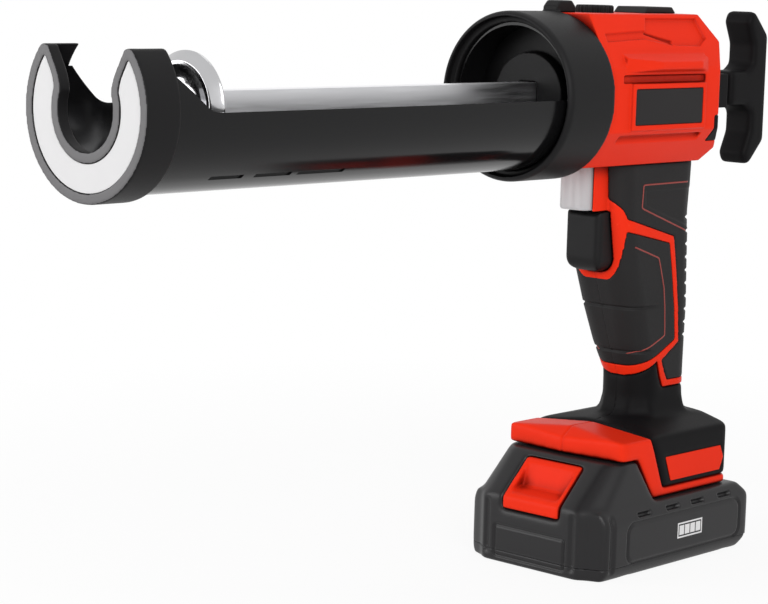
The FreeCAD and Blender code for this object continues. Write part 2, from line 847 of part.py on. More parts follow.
def front_guide():
    disc = rod_x("guide_disc", "trough_radius", "trough_rear", "collar_rear")
    boss = rod_x("guide_boss", "guide_boss_radius", "trough_rear - guide_boss_length", "collar_rear")
    hole = rod_passage("guide_hole", "trough_rear - guide_boss_length - past", "collar_rear + past",
                       "slide_gap")
    keep(cut("front_guide", join("guide_solid", [disc, boss]), hole))


# Rod, piston and pull handle

def piston():
    back = "piston_front + piston_thickness"
    disc = rod_x("piston_disc", "piston_radius", "piston_front", back)
    skirt = rod_x("piston_skirt", "piston_radius", "piston_front", "piston_front + piston_rim_depth")
    hollow = rod_x("piston_hollow", "piston_radius - piston_rim", back,
                   "piston_front + piston_rim_depth + past")
    hub = rod_x("piston_hub", "piston_hub_radius", "piston_front", "piston_front + piston_hub_length")
    solid = join("piston_solid", [disc, cut("piston_rim_ring", skirt, hollow), hub])
    socket = rod_passage("piston_socket", back, "piston_front + piston_hub_length + past", "fit_gap")
    hole = rod_x("piston_hole", "piston_screw_radius + fit_gap", "piston_front - past", back + " + past")
    keep(cut("piston_plate", solid, socket, hole))
    head = rod_x("piston_screw_top", "piston_screw_head", "piston_front - piston_screw_height",
                 "piston_front")
    shank = rod_x("piston_screw_shank", "piston_screw_radius", "piston_front - past",
                  "piston_front + piston_screw_length")
    keep(join("piston_screw", [head, shank]))


def push_rod():
    """A square bar with rack teeth along its underside."""
    front = "(piston_front + piston_thickness)"
    rack_front = "(drive_x - %s * %s)" % (RACK_TEETH_AHEAD, RACK_STEP)
    rack_back = "(drive_x + rack_teeth_behind * %s)" % RACK_STEP
    low = "(axis_height - rod_height / 2)"
    high = "(axis_height + rod_height / 2)"
    root = "(%s + tooth_root * rack_module)" % RACK_PITCH_LINE
    bar = prism("rod_bar", "XZ", [
        (front, low), (rack_front, low), (rack_front, root), (rack_back, root),
        (rack_back, low), ("rod_end", low), ("rod_end", high), (front, high),
    ], "-rod_width / 2", "rod_width / 2")
    first = "(%s + %s / 2)" % (rack_front, RACK_STEP)
    tooth = draw(bar, "rod_tooth_outline", "XZ", [
        ("%s - tooth_root_fill * %s / 2" % (first, RACK_STEP), root),
        ("%s - tooth_tip_fill * %s / 2" % (first, RACK_STEP), low),
        ("%s + tooth_tip_fill * %s / 2" % (first, RACK_STEP), low),
        ("%s + tooth_root_fill * %s / 2" % (first, RACK_STEP), root),
    ], "-rod_width / 2")
    pad = bar.newObject("PartDesign::Pad", "rod_tooth")
    pad.Profile = tooth
    pad.setExpression("Length", bind("rod_width"))
    pattern = bar.newObject("PartDesign::LinearPattern", "rod_teeth")
    pattern.Originals = [pad]
    pattern.Direction = ([item for item in bar.Origin.OriginFeatures if item.Role == "X_Axis"][0], [""])
    pattern.setExpression("Length", bind("%s * (%s + rack_teeth_behind - 1)" % (RACK_STEP, RACK_TEETH_AHEAD)))
    pattern.setExpression("Occurrences", bind(RACK_TEETH_AHEAD + " + rack_teeth_behind"))
    bar.Tip = pattern
    hole = rod_x("rod_screw_hole", "piston_screw_radius + fit_gap", front + " - past",
                 "piston_front + piston_screw_length + past")
    pin_hole = rod_y("rod_pin_hole", "handle_pin_radius + fit_gap", "-rod_width", "rod_width",
                     "rod_end - handle_pin_inset", "axis_height")
    keep(cut("push_rod", bar, hole, pin_hole))


def pull_handle():
    """A T whose hub closes over the rod's end."""
    half = [
        ("handle_hub_front", "handle_hub_half"),
        ("handle_tip", "handle_hub_half"),
        ("handle_waist", "handle_root"),
        ("handle_waist", "handle_bend"),
        ("handle_tip", "handle_half_height - handle_end_land"),
        ("handle_tip + handle_end_land / 2", "handle_half_height"),
        ("handle_rear - handle_chamfer", "handle_half_height"),
        ("handle_rear", "handle_half_height - handle_chamfer"),
    ]
    middle = "axis_height + handle_rise"
    outline = [(x, "%s + %s" % (middle, z)) for x, z in half]
    outline += [(x, "%s - (%s)" % (middle, z)) for x, z in reversed(half)]
    blank = prism("handle_blank", "XZ", outline, "-handle_half_width", "handle_half_width",
                  [([4, 5, 6, 9, 10, 11], "handle_round")])

    def side_edge(edge):
        return all(abs(abs(vertex.Point.y) - value("handle_half_width")) < 0.01 for vertex in edge.Vertexes)
    rounded = round_edges("handle_rounded", blank, "handle_round", side_edge)
    socket = rod_passage("handle_socket", "handle_hub_front - past", "rod_end", "fit_gap")
    hole = rod_y("handle_pin_hole", "handle_pin_radius + fit_gap", "-handle_pin_half - fit_gap",
                 "handle_pin_half + fit_gap", "rod_end - handle_pin_inset", "axis_height")
    keep(cut("pull_handle", rounded, socket, hole))
    keep(rod_y("handle_pin", "handle_pin_radius", "-handle_pin_half", "handle_pin_half",
               "rod_end - handle_pin_inset", "axis_height"))


# Gear train

def gear(name, module, teeth, y0, y1, x, z, turn):
    """A spur gear along Y with a tooth pointing up before it is turned."""
    body = doc.addObject("PartDesign::Body", name)
    pitch = "(%s * %s / 2)" % (module, teeth)
    root = "(%s - tooth_root * %s)" % (pitch, module)
    tip = "(%s + tooth_tip * %s)" % (pitch, module)
    step = "(%.9f * %s)" % (math.pi, module)
    disc = new_sketch(body, name + "_disc", "XZ", "-(%s)" % y1)
    disc.addGeometry(Part.Circle(FreeCAD.Vector(), FreeCAD.Vector(0, 0, 1), 5), False)
    disc.addConstraint(Sketcher.Constraint("Coincident", 0, 3, -1, 1))
    number = disc.addConstraint(Sketcher.Constraint("Radius", 0, 5))
    disc.setExpression("Constraints[%d]" % number, bind(root))
    tooth = draw(body, name + "_tooth", "XZ", [
        ("-tooth_root_fill * %s / 2" % step, root + " - tooth_root * %s" % module),
        ("tooth_root_fill * %s / 2" % step, root + " - tooth_root * %s" % module),
        ("tooth_root_fill * %s / 2" % step, root),
        ("tooth_tip_fill * %s / 2" % step, tip),
        ("-tooth_tip_fill * %s / 2" % step, tip),
        ("-tooth_root_fill * %s / 2" % step, root),
    ], "-(%s)" % y1)
    for sketch, label in ((disc, name + "_blank"), (tooth, name + "_one_tooth")):
        pad = body.newObject("PartDesign::Pad", label)
        pad.Profile = sketch
        pad.setExpression("Length", bind("(%s) - (%s)" % (y1, y0)))
    pattern = body.newObject("PartDesign::PolarPattern", name + "_teeth")
    pattern.Originals = [pad]
    pattern.Axis = ([item for item in body.Origin.OriginFeatures if item.Role == "Y_Axis"][0], [""])
    pattern.setExpression("Occurrences", bind(teeth))
    body.Tip = pattern
    place(body, FreeCAD.Rotation(FreeCAD.Vector(0, 1, 0), 1), x, "0", z)
    body.setExpression("Placement.Rotation.Angle", bind(turn))
    return body


def gear_train():
    toward_idler = "asin(idler_lean / %s)" % FIRST_REACH
    toward_motor = "asin(motor_lean / %s)" % SECOND_REACH
    pinion = gear("rack_pinion", "rack_module", "pinion_teeth", "-pinion_half", "pinion_half",
                  "drive_x", DRIVE_Z, "0 deg")
    shaft = rod_y("drive_axle", "drive_shaft_radius", "-frame_inner - frame_plate",
                  OUTER_FRAME + " + frame_plate",
                  "drive_x", DRIVE_Z)
    keep(join("drive_shaft", [pinion, shaft]))
    wheel = gear("drive_wheel", "gear_module", "drive_gear_teeth", GEAR_START, GEAR_END,
                 "drive_x", DRIVE_Z, toward_idler)
    bore = rod_y("drive_wheel_bore", "drive_shaft_radius + fit_gap", "0", OUTER_FRAME, "drive_x", DRIVE_Z)
    keep(cut("drive_gear", wheel, bore))
    idler_turn = "(%s + 180 deg - 180 deg / idler_teeth)" % toward_idler
    middle = gear("idler_wheel", "gear_module", "idler_teeth", GEAR_START, GEAR_END,
                  IDLER_X, IDLER_Z, idler_turn)
    axle = rod_y("idler_axle", "idler_shaft_radius", "frame_inner", OUTER_FRAME + " + frame_plate",
                 IDLER_X, IDLER_Z)
    keep(join("idler_gear", [middle, axle]))
    lead = "(%s - %s) * idler_teeth / motor_pinion_teeth" % (idler_turn, toward_motor)
    tip = gear("motor_tip", "gear_module", "motor_pinion_teeth", GEAR_START, GEAR_END, MOTOR_X, MOTOR_Z,
               "%s + 180 deg + 180 deg / motor_pinion_teeth - %s" % (toward_motor, lead))
    spindle = rod_y("motor_spindle", "motor_shaft_radius", "frame_inner - motor_shaft_inside", GEAR_END,
                    MOTOR_X, MOTOR_Z)
    keep(join("motor_shaft", [tip, spindle]))


def motor():
    can = rod_y("motor_shell", "motor_radius", "frame_inner - motor_length", "frame_inner", MOTOR_X, MOTOR_Z)
    boss = rod_y("motor_boss", "motor_boss_radius", "frame_inner - past", "frame_inner + motor_boss_length",
                 MOTOR_X, MOTOR_Z)
    bore = rod_y("motor_bore", "motor_shaft_radius + slide_gap",
                 "frame_inner - motor_shaft_inside - slide_gap",
                 "frame_inner + frame_plate", MOTOR_X, MOTOR_Z)
    keep(cut("motor_can", join("motor_solid", [can, boss]), bore))


def gear_frame():
    """Three plates on posts that carry the shafts and the motor."""
    outer_end = OUTER_FRAME + " + frame_plate"
    left = box("frame_left", "frame_front", "frame_rear", "-" + FRAME_OUT, "-frame_inner",
               "frame_low", "left_frame_high")
    middle = box("frame_middle", "frame_front", "frame_rear", "frame_inner", FRAME_OUT, "frame_low",
                 "frame_high")
    outer = box("frame_outer", "frame_front", "frame_rear", OUTER_FRAME, outer_end, "outer_frame_low",
                "frame_high")
    ends = (("front", "frame_front + post_inset"), ("rear", "frame_rear - post_inset"))
    posts = []
    for end, x in ends:
        posts.append(rod_y("post_low_" + end, "post_radius", "-frame_inner", "frame_inner",
                           x, "frame_low + post_inset"))
        posts.append(rod_y("post_side_" + end, "post_radius", FRAME_OUT, OUTER_FRAME,
                           x, "outer_frame_low + post_inset"))
        posts.append(rod_y("post_high_" + end, "post_radius", FRAME_OUT, OUTER_FRAME,
                           x, "frame_high - post_inset"))
    solid = join("frame_solid", [left, middle, outer] + posts)
    drive_hole = rod_y("frame_drive_hole", "drive_shaft_radius + fit_gap", "-2 * " + FRAME_OUT,
                       "2 * " + OUTER_FRAME,
                       "drive_x", DRIVE_Z)
    idler_hole = rod_y("frame_idler_hole", "idler_shaft_radius + fit_gap", "0", "2 * " + OUTER_FRAME,
                       IDLER_X, IDLER_Z)
    motor_hole = rod_y("frame_motor_hole", "motor_boss_radius + fit_gap", "0", OUTER_FRAME, MOTOR_X, MOTOR_Z)
    keep(cut("gear_frame", solid, drive_hole, idler_hole, motor_hole))


# Housing

def body_shape(name, inset):
    """The eight-sided body with its rear corners cut back, drawn in by inset."""
    section = prism(name + "_section", "YZ", mirrored_first([
        ("bottom_half - %s / 2" % inset, "body_bottom + %s" % inset),
        ("body_half - %s" % inset, "side_bottom + %s / 2" % inset),
        ("body_half - %s" % inset, "side_top - %s / 2" % inset),
        ("top_half - %s / 2" % inset, "body_top - %s" % inset),
    ]), "collar_rear + %s" % inset, "body_rear - %s" % inset)
    plan = prism(name + "_plan", "XY", mirrored_second([
        ("collar_rear", "body_half + past"),
        ("body_shoulder - %s / 2 - past" % inset, "body_half + past"),
        ("body_rear - %s" % inset, "rear_half - %s / 2" % inset),
    ]), "body_bottom - past", "body_top + past")
    profile = prism(name + "_profile", "XZ", [
        ("collar_rear", "body_bottom"), ("rear_low_x - %s / 2" % inset, "body_bottom"),
        ("body_rear - %s" % inset, "rear_low_z + %s / 2" % inset),
        ("body_rear - %s" % inset, "rear_high_z - %s / 2" % inset),
        ("rear_high_x - %s / 2" % inset, "body_top"), ("collar_rear", "body_top"),
    ], "-body_half", "body_half")
    return common(name, common(name + "_ends", section, plan), profile)


def grip_shape(name, inset):
    """The grip through its rounded sections, drawn in by inset."""
    body = doc.addObject("PartDesign::Body", name)
    depth = value(inset) if inset in SIZES else 0.0
    sketches = []
    for section in GRIP_SECTIONS:
        sketch = new_sketch(body, "%s_%s" % (name, section), "XY", section + "_height")
        front = value(section + "_front") + depth
        rear = value(section + "_rear") - depth
        half = value(section + "_half") - depth
        corner = value("grip_corner") - depth
        draw_rounded(sketch, front, rear, half, corner)
        hold(sketch, "DistanceX", 1, 1, "%s_rear - %s" % (section, inset), rear)
        hold(sketch, "DistanceX", 3, 1, "%s_front + %s" % (section, inset), front)
        hold(sketch, "DistanceY", 0, 1, "-(%s_half - %s)" % (section, inset), -half)
        hold(sketch, "DistanceY", 2, 1, "%s_half - %s" % (section, inset), half)
        number = sketch.addConstraint(Sketcher.Constraint("Radius", 4, corner))
        sketch.setExpression("Constraints[%d]" % number, bind("grip_corner - %s" % inset))
        sketches.append(sketch)
    feature = body.newObject("PartDesign::AdditiveLoft", name + "_loft")
    feature.Profile = sketches[0]
    feature.Sections = sketches[1:]
    feature.Ruled = True
    return body


def draw_rounded(sketch, front, rear, half, corner):
    """Four sides and four equal corner arcs, tangent where they meet."""
    sides = [
        ((front + corner, -half), (rear - corner, -half)),
        ((rear, -half + corner), (rear, half - corner)),
        ((rear - corner, half), (front + corner, half)),
        ((front, half - corner), (front, -half + corner)),
    ]
    for (x0, y0), (x1, y1) in sides:
        sketch.addGeometry(Part.LineSegment(FreeCAD.Vector(x0, y0, 0), FreeCAD.Vector(x1, y1, 0)), False)
    centres = [(rear - corner, -half + corner), (rear - corner, half - corner),
               (front + corner, half - corner), (front + corner, -half + corner)]
    for quarter, (x, y) in enumerate(centres):
        circle = Part.Circle(FreeCAD.Vector(x, y, 0), FreeCAD.Vector(0, 0, 1), corner)
        start = (quarter - 1) * math.pi / 2
        sketch.addGeometry(Part.ArcOfCircle(circle, start, start + math.pi / 2), False)
    for side in range(4):
        kind = "Horizontal" if side % 2 == 0 else "Vertical"
        sketch.addConstraint(Sketcher.Constraint(kind, side))
        sketch.addConstraint(Sketcher.Constraint("Tangent", side, 2, 4 + side, 1))
        sketch.addConstraint(Sketcher.Constraint("Tangent", 4 + side, 2, (side + 1) % 4, 1))
    for arc in range(5, 8):
        sketch.addConstraint(Sketcher.Constraint("Equal", 4, arc))


def grip_zone(name, outline):
    """A side view outline pushed right across the grip."""
    return prism(name, "XZ", outline, "-2 * finger_half", "2 * finger_half")


def front_zone():
    """Where the front rubber lies, under the band that rings the trigger."""
    return grip_zone("front_zone", [
        ("band_front_x", "band_front_z - band_slant"),
        ("band_rear_x - band_half", "band_rear_z - band_half"),
        ("band_low_x - band_half", "band_low_z"),
        ("band_heel_x - band_half", "band_heel_z + band_half"),
        ("band_toe_x", "band_toe_z + band_toe_half"),
        ("stem_front", "band_toe_z + band_toe_half"),
        ("stem_front", "guard_low_z"),
        ("guard_low_x", "guard_low_z"),
        ("guard_bend_x", "guard_bend_z"),
        ("guard_rear_x", "guard_rear_z"),
    ])


def rear_zone():
    """Where the rear rubber lies, behind and above the band."""
    return grip_zone("rear_zone", [
        ("grip_top_front", "grip_top"),
        ("2 * crown_rear", "grip_top"),
        ("2 * crown_rear", "band_tail_z + band_half"),
        ("band_tail_x + band_half", "band_tail_z + band_half"),
        ("band_heel_x + band_half", "band_heel_z - band_half"),
        ("band_low_x + band_half", "band_low_z - band_half"),
        ("band_rear_x + band_half", "band_rear_z + band_half"),
        ("band_front_x", "band_front_z + band_slant"),
        ("guard_top_x", "guard_top_z"),
        ("grip_top_front", "grip_top_front_z"),
    ])


def neck_zone():
    """The bottom of the grip, which belongs to the foot cover."""
    return grip_zone("neck_zone", [
        ("stem_front", "band_toe_z - band_toe_half"),
        ("band_toe_x", "band_toe_z - band_toe_half"),
        ("band_heel_x - band_half", "band_heel_z - band_half"),
        ("band_tail_x - band_half", "band_tail_z - band_half"),
        ("2 * crown_rear", "band_tail_z - band_half"),
        ("2 * crown_rear", "neck_height"),
        ("stem_front", "neck_height"),
    ])


def side_box(name, side):
    """Everything on one side of the middle plane."""
    y0, y1 = ("-far", "0") if side == "left" else ("0", "far")
    return box(name, "-far", "far", y0, y1, "-far", "far")


def label_frame(name, border, y0, y1):
    return box(name, "label_front + %s" % border, "label_rear - (%s)" % border, y0, y1,
               "label_low + %s" % border, "label_high - (%s)" % border)


def screw_places():
    return (("front_high", "screw_front_x", "screw_high"), ("front_low", "screw_front_x", "screw_low_front"),
            ("rear_high", "screw_rear_x", "screw_high"), ("rear_low", "screw_rear_x", "screw_low_rear"))


def side_ridge():
    """A raised rib on the body's flank that grows from nothing in front and is cut off behind."""
    section = prism("ridge_section", "YZ", [
        ("body_half - wall", "ridge_low"),
        ("body_half + ridge_proud", "ridge_low + ridge_proud"),
        ("body_half + ridge_proud", "ridge_high - ridge_proud"),
        ("body_half - 2 * wall", "ridge_high + ridge_proud / 2"),
        ("body_half - 2 * wall", "ridge_low"),
    ], "ridge_front", "ridge_back")
    plan = prism("ridge_plan", "XY", [
        ("ridge_front", "body_half - 3 * wall"), ("ridge_back", "body_half - 3 * wall"),
        ("ridge_back", "body_half"), ("ridge_back - ridge_end", "body_half + ridge_proud"),
        ("ridge_front + ridge_taper", "body_half + ridge_proud"), ("ridge_front", "body_half"),
    ], "ridge_low - past", "ridge_high + ridge_proud")
    return common("side_ridge", section, plan)


def housing_outside(hull, grip, stem):
    frame = label_frame("label_frame", "0", "body_half - wall", "body_half + label_proud")
    ridge = side_ridge()
    return join("housing_outside", [hull, grip, stem] + pair("label_frame_left", frame)
                + pair("side_ridge_left", ridge))


def housing_hollows(trigger_room):
    cavity = body_shape("body_cavity", "wall")
    upper = prism("grip_cavity", "XZ", [
        ("cavity_front", "crown_height"), ("cavity_front", "cavity_bend_high"),
        ("cavity_rear", "cavity_bend_high"), ("cavity_rear", "crown_height"),
    ], "-cavity_half", "cavity_half")
    lower = prism("neck_cavity", "XZ", [
        ("cavity_front", "cavity_bend_high + past"), ("cavity_front", "cavity_bend_high"),
        ("cavity_low_front", "cavity_bend_low"), ("cavity_low_front", "neck_height - past"),
        ("cavity_rear", "neck_height - past"), ("cavity_rear", "cavity_bend_high + past"),
    ], "-cavity_low_half", "cavity_low_half")
    button = box("button_pocket", "2 * button_front", "button_rear + button_travel + slide_gap",
                 "-button_half - slide_gap", "button_half + slide_gap",
                 "trigger_high", "button_high + slide_gap")
    spring = rod_x("button_spring_hole", "button_spring_radius + slide_gap", "button_rear",
                   "button_spring_end",
                   "0", "(button_low + button_high) / 2")
    return [cavity, upper, lower, trigger_room, button, spring]


def housing_bosses(hull):
    """Screw columns and the bosses that clamp the gear frame and carry the dial."""
    pieces = [rod_y("column_" + name, "column_radius", "-body_half", "body_half", x, z)
              for name, x, z in screw_places()]
    for end, x in (("front", "frame_front + post_inset"), ("rear", "frame_rear - post_inset")):
        pieces.append(rod_y("boss_left_" + end, "boss_radius", "-body_half", "-" + FRAME_OUT,
                            x, "frame_low + post_inset"))
        for level, z in (("low", "outer_frame_low + post_inset"), ("high", "frame_high - post_inset")):
            pieces.append(rod_y("boss_%s_%s" % (level, end), "boss_radius", OUTER_FRAME + " + frame_plate",
                                "body_half", x, z))
    pieces.append(rod_z("dial_boss", "dial_boss_radius", "body_top - dial_boss_depth", "body_top", "dial_x",
                        "0"))
    pieces.append(rod_z("dial_stem", "dial_stem_radius", "body_top - dial_sink - dial_shaft_length - past",
                        "body_top",
                        "dial_x", "0"))
    return common("housing_bosses", join("boss_set", pieces), hull)


def housing_openings():
    """Holes and pockets cut after the inside is filled in."""
    tools = []
    for name, x, z in screw_places():
        tools.append(rod_y("screw_hole_" + name, "screw_radius + fit_gap", "screw_tip - past",
                           "screw_seat + past", x, z))
        tools.append(rod_y("screw_well_" + name, "screw_head + slide_gap", "screw_seat", "2 * body_half", x,
                           z))
    tools.append(rod_z("dial_well", "dial_radius + slide_gap", "body_top - dial_sink - fit_gap",
                       "body_top + past",
                       "dial_x", "0"))
    tools.append(rod_z("dial_hole", "dial_shaft_radius + fit_gap",
                       "body_top - dial_sink - dial_shaft_length - fit_gap", "body_top", "dial_x", "0"))
    tools.append(rod_passage("front_wall_hole", "collar_rear - past", "collar_rear + wall + past",
                             "rod_clear"))
    tools.append(box("rear_wall_hole", "body_rear - wall - past", "body_rear + past",
                     "-rear_guide_half - fit_gap", "rear_guide_half + fit_gap",
                     "axis_height - rear_guide_half_height - fit_gap",
                     "axis_height + rear_guide_half_height + fit_gap"))
    well = label_frame("label_well", "label_border",
                       "body_half + label_proud - label_thickness - label_sunk", "2 * body_half")
    groove = box("side_groove", "groove_front", "groove_back", "body_half - groove_depth", "2 * body_half",
                 "upper_groove - groove_half", "upper_groove + groove_half")
    step = box("lower_groove_room", "groove_front", "groove_back", "lower_groove_half", "2 * body_half",
               "lower_groove - groove_half", "lower_groove + groove_half")
    return (tools + pair("label_well_left", well) + pair("side_groove_left", groove)
            + pair("lower_groove_left", step))


def trigger_end_view(name, x0, x1, gap):
    """The trigger seen end on, round at its lower corners, pushed along its travel."""
    return prism(name, "YZ", [
        ("-trigger_half - %s" % gap, "trigger_low - %s" % gap),
        ("trigger_half + %s" % gap, "trigger_low - %s" % gap),
        ("trigger_half + %s" % gap, "trigger_high + %s" % gap),
        ("-trigger_half - %s" % gap, "trigger_high + %s" % gap),
    ], x0, x1, [([0, 1], "trigger_corner + %s" % gap)])


def housing_and_grips():
    hull = body_shape("body_hull", "0")
    grip = grip_shape("grip_outside", "0")
    core = grip_shape("grip_core", "rubber")
    rubber = cut("grip_rubber", grip, core)
    front_rubber = common("front_rubber", rubber, front_zone())
    rear_rubber = common("rear_rubber", rubber, rear_zone())
    neck_rubber = common("neck_rubber", rubber, neck_zone())
    stem = box("stem", "stem_front", "cavity_front", "-stem_half", "stem_half", "stem_low",
               "body_bottom + wall")
    trigger_room = trigger_end_view("trigger_room", "2 * trigger_front",
                                    "trigger_rear + trigger_travel + slide_gap", "slide_gap")
    rear_rubber = cut("rear_rubber_trimmed", rear_rubber, hull, stem)
    skin = cut("bumper_skin", hull, body_shape("bumper_core", "bumper_depth"))
    bumper = common("rear_bumper", skin, box("bumper_zone", "bumper_front", "2 * body_rear", "-2 * body_half",
                                             "2 * body_half", "bumper_low", "bumper_high"))
    shell = cut("housing_shell", housing_outside(hull, grip, stem), *housing_hollows(trigger_room))
    filled = join("housing_filled", [shell, housing_bosses(hull)])
    housing = cut("housing_whole", filled, front_rubber, rear_rubber, neck_rubber, bumper,
                  *housing_openings())
    front_rubber = cut("front_rubber_open", front_rubber, trigger_room)
    for side in ("left", "right"):
        half = side_box(side + "_side", side)
        keep(common(side + "_housing", housing, half))
        keep(common(side + "_front_grip", front_rubber, half))
        keep(common(side + "_rear_grip", rear_rubber, half))
    keep(bumper)
    return core, neck_rubber


def label_plates():
    face = "body_half + label_proud - label_sunk"
    plate = label_frame("right_label_plate", "label_border + fit_gap",
                        face + " - label_thickness + fit_gap", face)
    keep(plate)
    keep(mirror("left_label_plate", plate))


def top_pad():
    keep(prism("top_pad", "XZ", [
        ("pad_front", "body_top"), ("pad_back", "body_top"),
        ("pad_back - pad_slope", "body_top + pad_rise"), ("pad_front + pad_slope", "body_top + pad_rise"),
    ], "-pad_half", "pad_half"))


def speed_dial():
    disc = rod_z("dial_disc", "dial_radius", "body_top - dial_sink", "body_top + dial_proud", "dial_x", "0")

    def top_edge(edge):
        top = disc.Shape.BoundBox.ZMax
        return all(abs(vertex.Point.z - top) < 0.01 for vertex in edge.Vertexes)
    rounded = round_edges("dial_rounded", disc, "dial_round", top_edge)
    shaft = rod_z("dial_shaft", "dial_shaft_radius", "body_top - dial_sink - dial_shaft_length", "body_top",
                  "dial_x", "0")
    mark = box("dial_mark", "dial_x - dial_radius", "dial_x - dial_radius / 2", "-dial_mark_half",
               "dial_mark_half",
               "body_top + dial_proud - dial_mark_depth", "body_top + dial_proud + past")
    keep(cut("speed_dial", join("dial_solid", [rounded, shaft]), mark))


def rear_guide():
    inner = "body_rear - wall - rear_guide_flange"
    flange = box("rear_guide_flange_block", inner, "body_rear - wall",
                 "-rear_guide_half - rear_guide_flange", "rear_guide_half + rear_guide_flange",
                 "axis_height - rear_guide_half_height - rear_guide_flange",
                 "axis_height + rear_guide_half_height + rear_guide_flange")
    tube = box("rear_guide_tube", inner, "rear_guide_end", "-rear_guide_half", "rear_guide_half",
               "axis_height - rear_guide_half_height", "axis_height + rear_guide_half_height")
    hole = rod_passage("rear_guide_hole", inner + " - past", "rear_guide_end + past", "slide_gap")
    keep(cut("rear_guide", join("rear_guide_solid", [flange, tube]), hole))


def housing_screws():
    pieces = []
    for name, x, z in screw_places():
        pieces.append(rod_y("screw_shank_" + name, "screw_radius", "screw_tip", "screw_seat + past", x, z))
        pieces.append(rod_y("screw_top_" + name, "screw_head", "screw_seat",
                            "screw_seat + screw_head_length", x, z))
    keep(join("housing_screws", pieces))


# Trigger, release button, switch and board

def trigger():
    block = prism("trigger_block", "XZ", [
        ("trigger_front", "trigger_low"), ("trigger_rear", "trigger_low"),
        ("trigger_rear", "trigger_high"), ("trigger_front", "trigger_high"),
    ], "-trigger_half", "trigger_half", [([0], "trigger_round")])

    def front_side(edge):
        ends = [vertex.Point for vertex in edge.Vertexes]
        on_side = all(abs(abs(end.y) - value("trigger_half")) < 0.01 for end in ends)
        ahead = all(end.x < value("trigger_front") + 0.01 for end in ends)
        return on_side and ahead
    rounded = round_edges("trigger_rounded", block, "trigger_edge", front_side)
    end_view = trigger_end_view("trigger_ends", "trigger_front - past", "trigger_rear + past", "0")
    shaped = common("trigger_shaped", rounded, end_view)
    plunger = rod_x("trigger_plunger", "plunger_radius", "trigger_rear - past", "plunger_end", "0",
                    "plunger_z")
    keep(join("trigger", [shaped, plunger]))
    keep(sleeve_x("trigger_spring", "spring_radius", "trigger_rear", "switch_front", "0", "plunger_z"))


def trigger_switch():
    block = box("switch_block", "switch_front", "switch_rear", "-cavity_half", "cavity_half",
                "switch_low", "switch_high")
    bore = rod_x("switch_bore", "plunger_radius + slide_gap", "switch_front - past",
                 "plunger_end + trigger_travel + slide_gap", "0", "plunger_z")
    keep(cut("trigger_switch", block, bore))


def release_button():
    block = prism("button_block", "XY", [
        ("button_front", "-button_half"), ("button_rear", "-button_half"),
        ("button_rear", "button_half"), ("button_front", "button_half"),
    ], "button_low", "button_high", [([0, 3], "button_round")])

    def rim_edge(edge):
        ends = [vertex.Point for vertex in edge.Vertexes]
        level = abs(ends[0].z - ends[-1].z) < 0.01
        return level and any(end.x < value("button_rear") - 0.01 for end in ends)
    keep(round_edges("release_button", block, "button_edge", rim_edge))
    keep(sleeve_x("button_spring", "button_spring_radius", "button_rear", "button_spring_end", "0",
                  "(button_low + button_high) / 2"))


def control_board():
    keep(box("control_board", "board_front", "cavity_rear", "-board_half", "board_half", "board_low",
             "board_high"))


# Foot

def foot_plan(name, z0, z1):
    """The foot from above, with a blunt point in front."""
    half = [("foot_brow", "foot_brow_half"), ("foot_cheek", "foot_half"),
            ("foot_heel", "foot_half"), ("foot_rear", "foot_rear_half")]
    return prism(name, "XY", [("foot_front", "0")] + mirrored_second(half), z0, z1)


def battery_shoe():
    """The red shoe: strip, legs and visor, with the T slot the battery's rails slide in."""
    profile = prism("shoe_profile", "XZ", [
        ("foot_rear", "shoe_low"), ("foot_rear", "strip_top"), ("leg_back_low", "strip_top"),
        ("leg_bend", "leg_bend_height"), ("leg_back_high", "foot_side_top"), ("leg_back_high", "visor_top"),
        ("visor_crest", "visor_top"), ("foot_front", "visor_front_top"), ("foot_front", "visor_low"),
        ("leg_front", "visor_low"), ("leg_front_low", "shoe_low"),
    ], "-foot_half", "foot_half")
    roof_slopes = prism("visor_roof", "YZ", [
        ("0", "visor_top"), ("-foot_half", "foot_side_top"), ("-foot_half", "shoe_low"),
        ("foot_half", "shoe_low"), ("foot_half", "foot_side_top"),
    ], "foot_front", "foot_rear")
    outline = common("shoe_outline", profile, foot_plan("shoe_plan", "shoe_low", "visor_top"))
    outside = common("shoe_outside", outline, roof_slopes)
    lid = box("shoe_lid", "leg_front_low", "shoe_box_rear", "-shoe_box_half", "shoe_box_half",
              "strip_top", "shoe_roof")
    neck = box("shoe_slot", "2 * foot_front", "rail_rear + slide_gap", "-rail_neck_half - slide_gap",
               "rail_neck_half + slide_gap", "shoe_low - past", "strip_top + past")
    slot = box("shoe_room", "2 * foot_front", "rail_rear + slide_gap", "-rail_half - slide_gap",
               "rail_half + slide_gap", "strip_top", "rail_top + slide_gap")
    keep(cut("battery_shoe", join("shoe_solid", [outside, lid]), neck, slot))
    keep(box("terminal_block", "terminal_front", "terminal_rear", "-terminal_half", "terminal_half",
             "shoe_roof", "shoe_roof + terminal_height"))


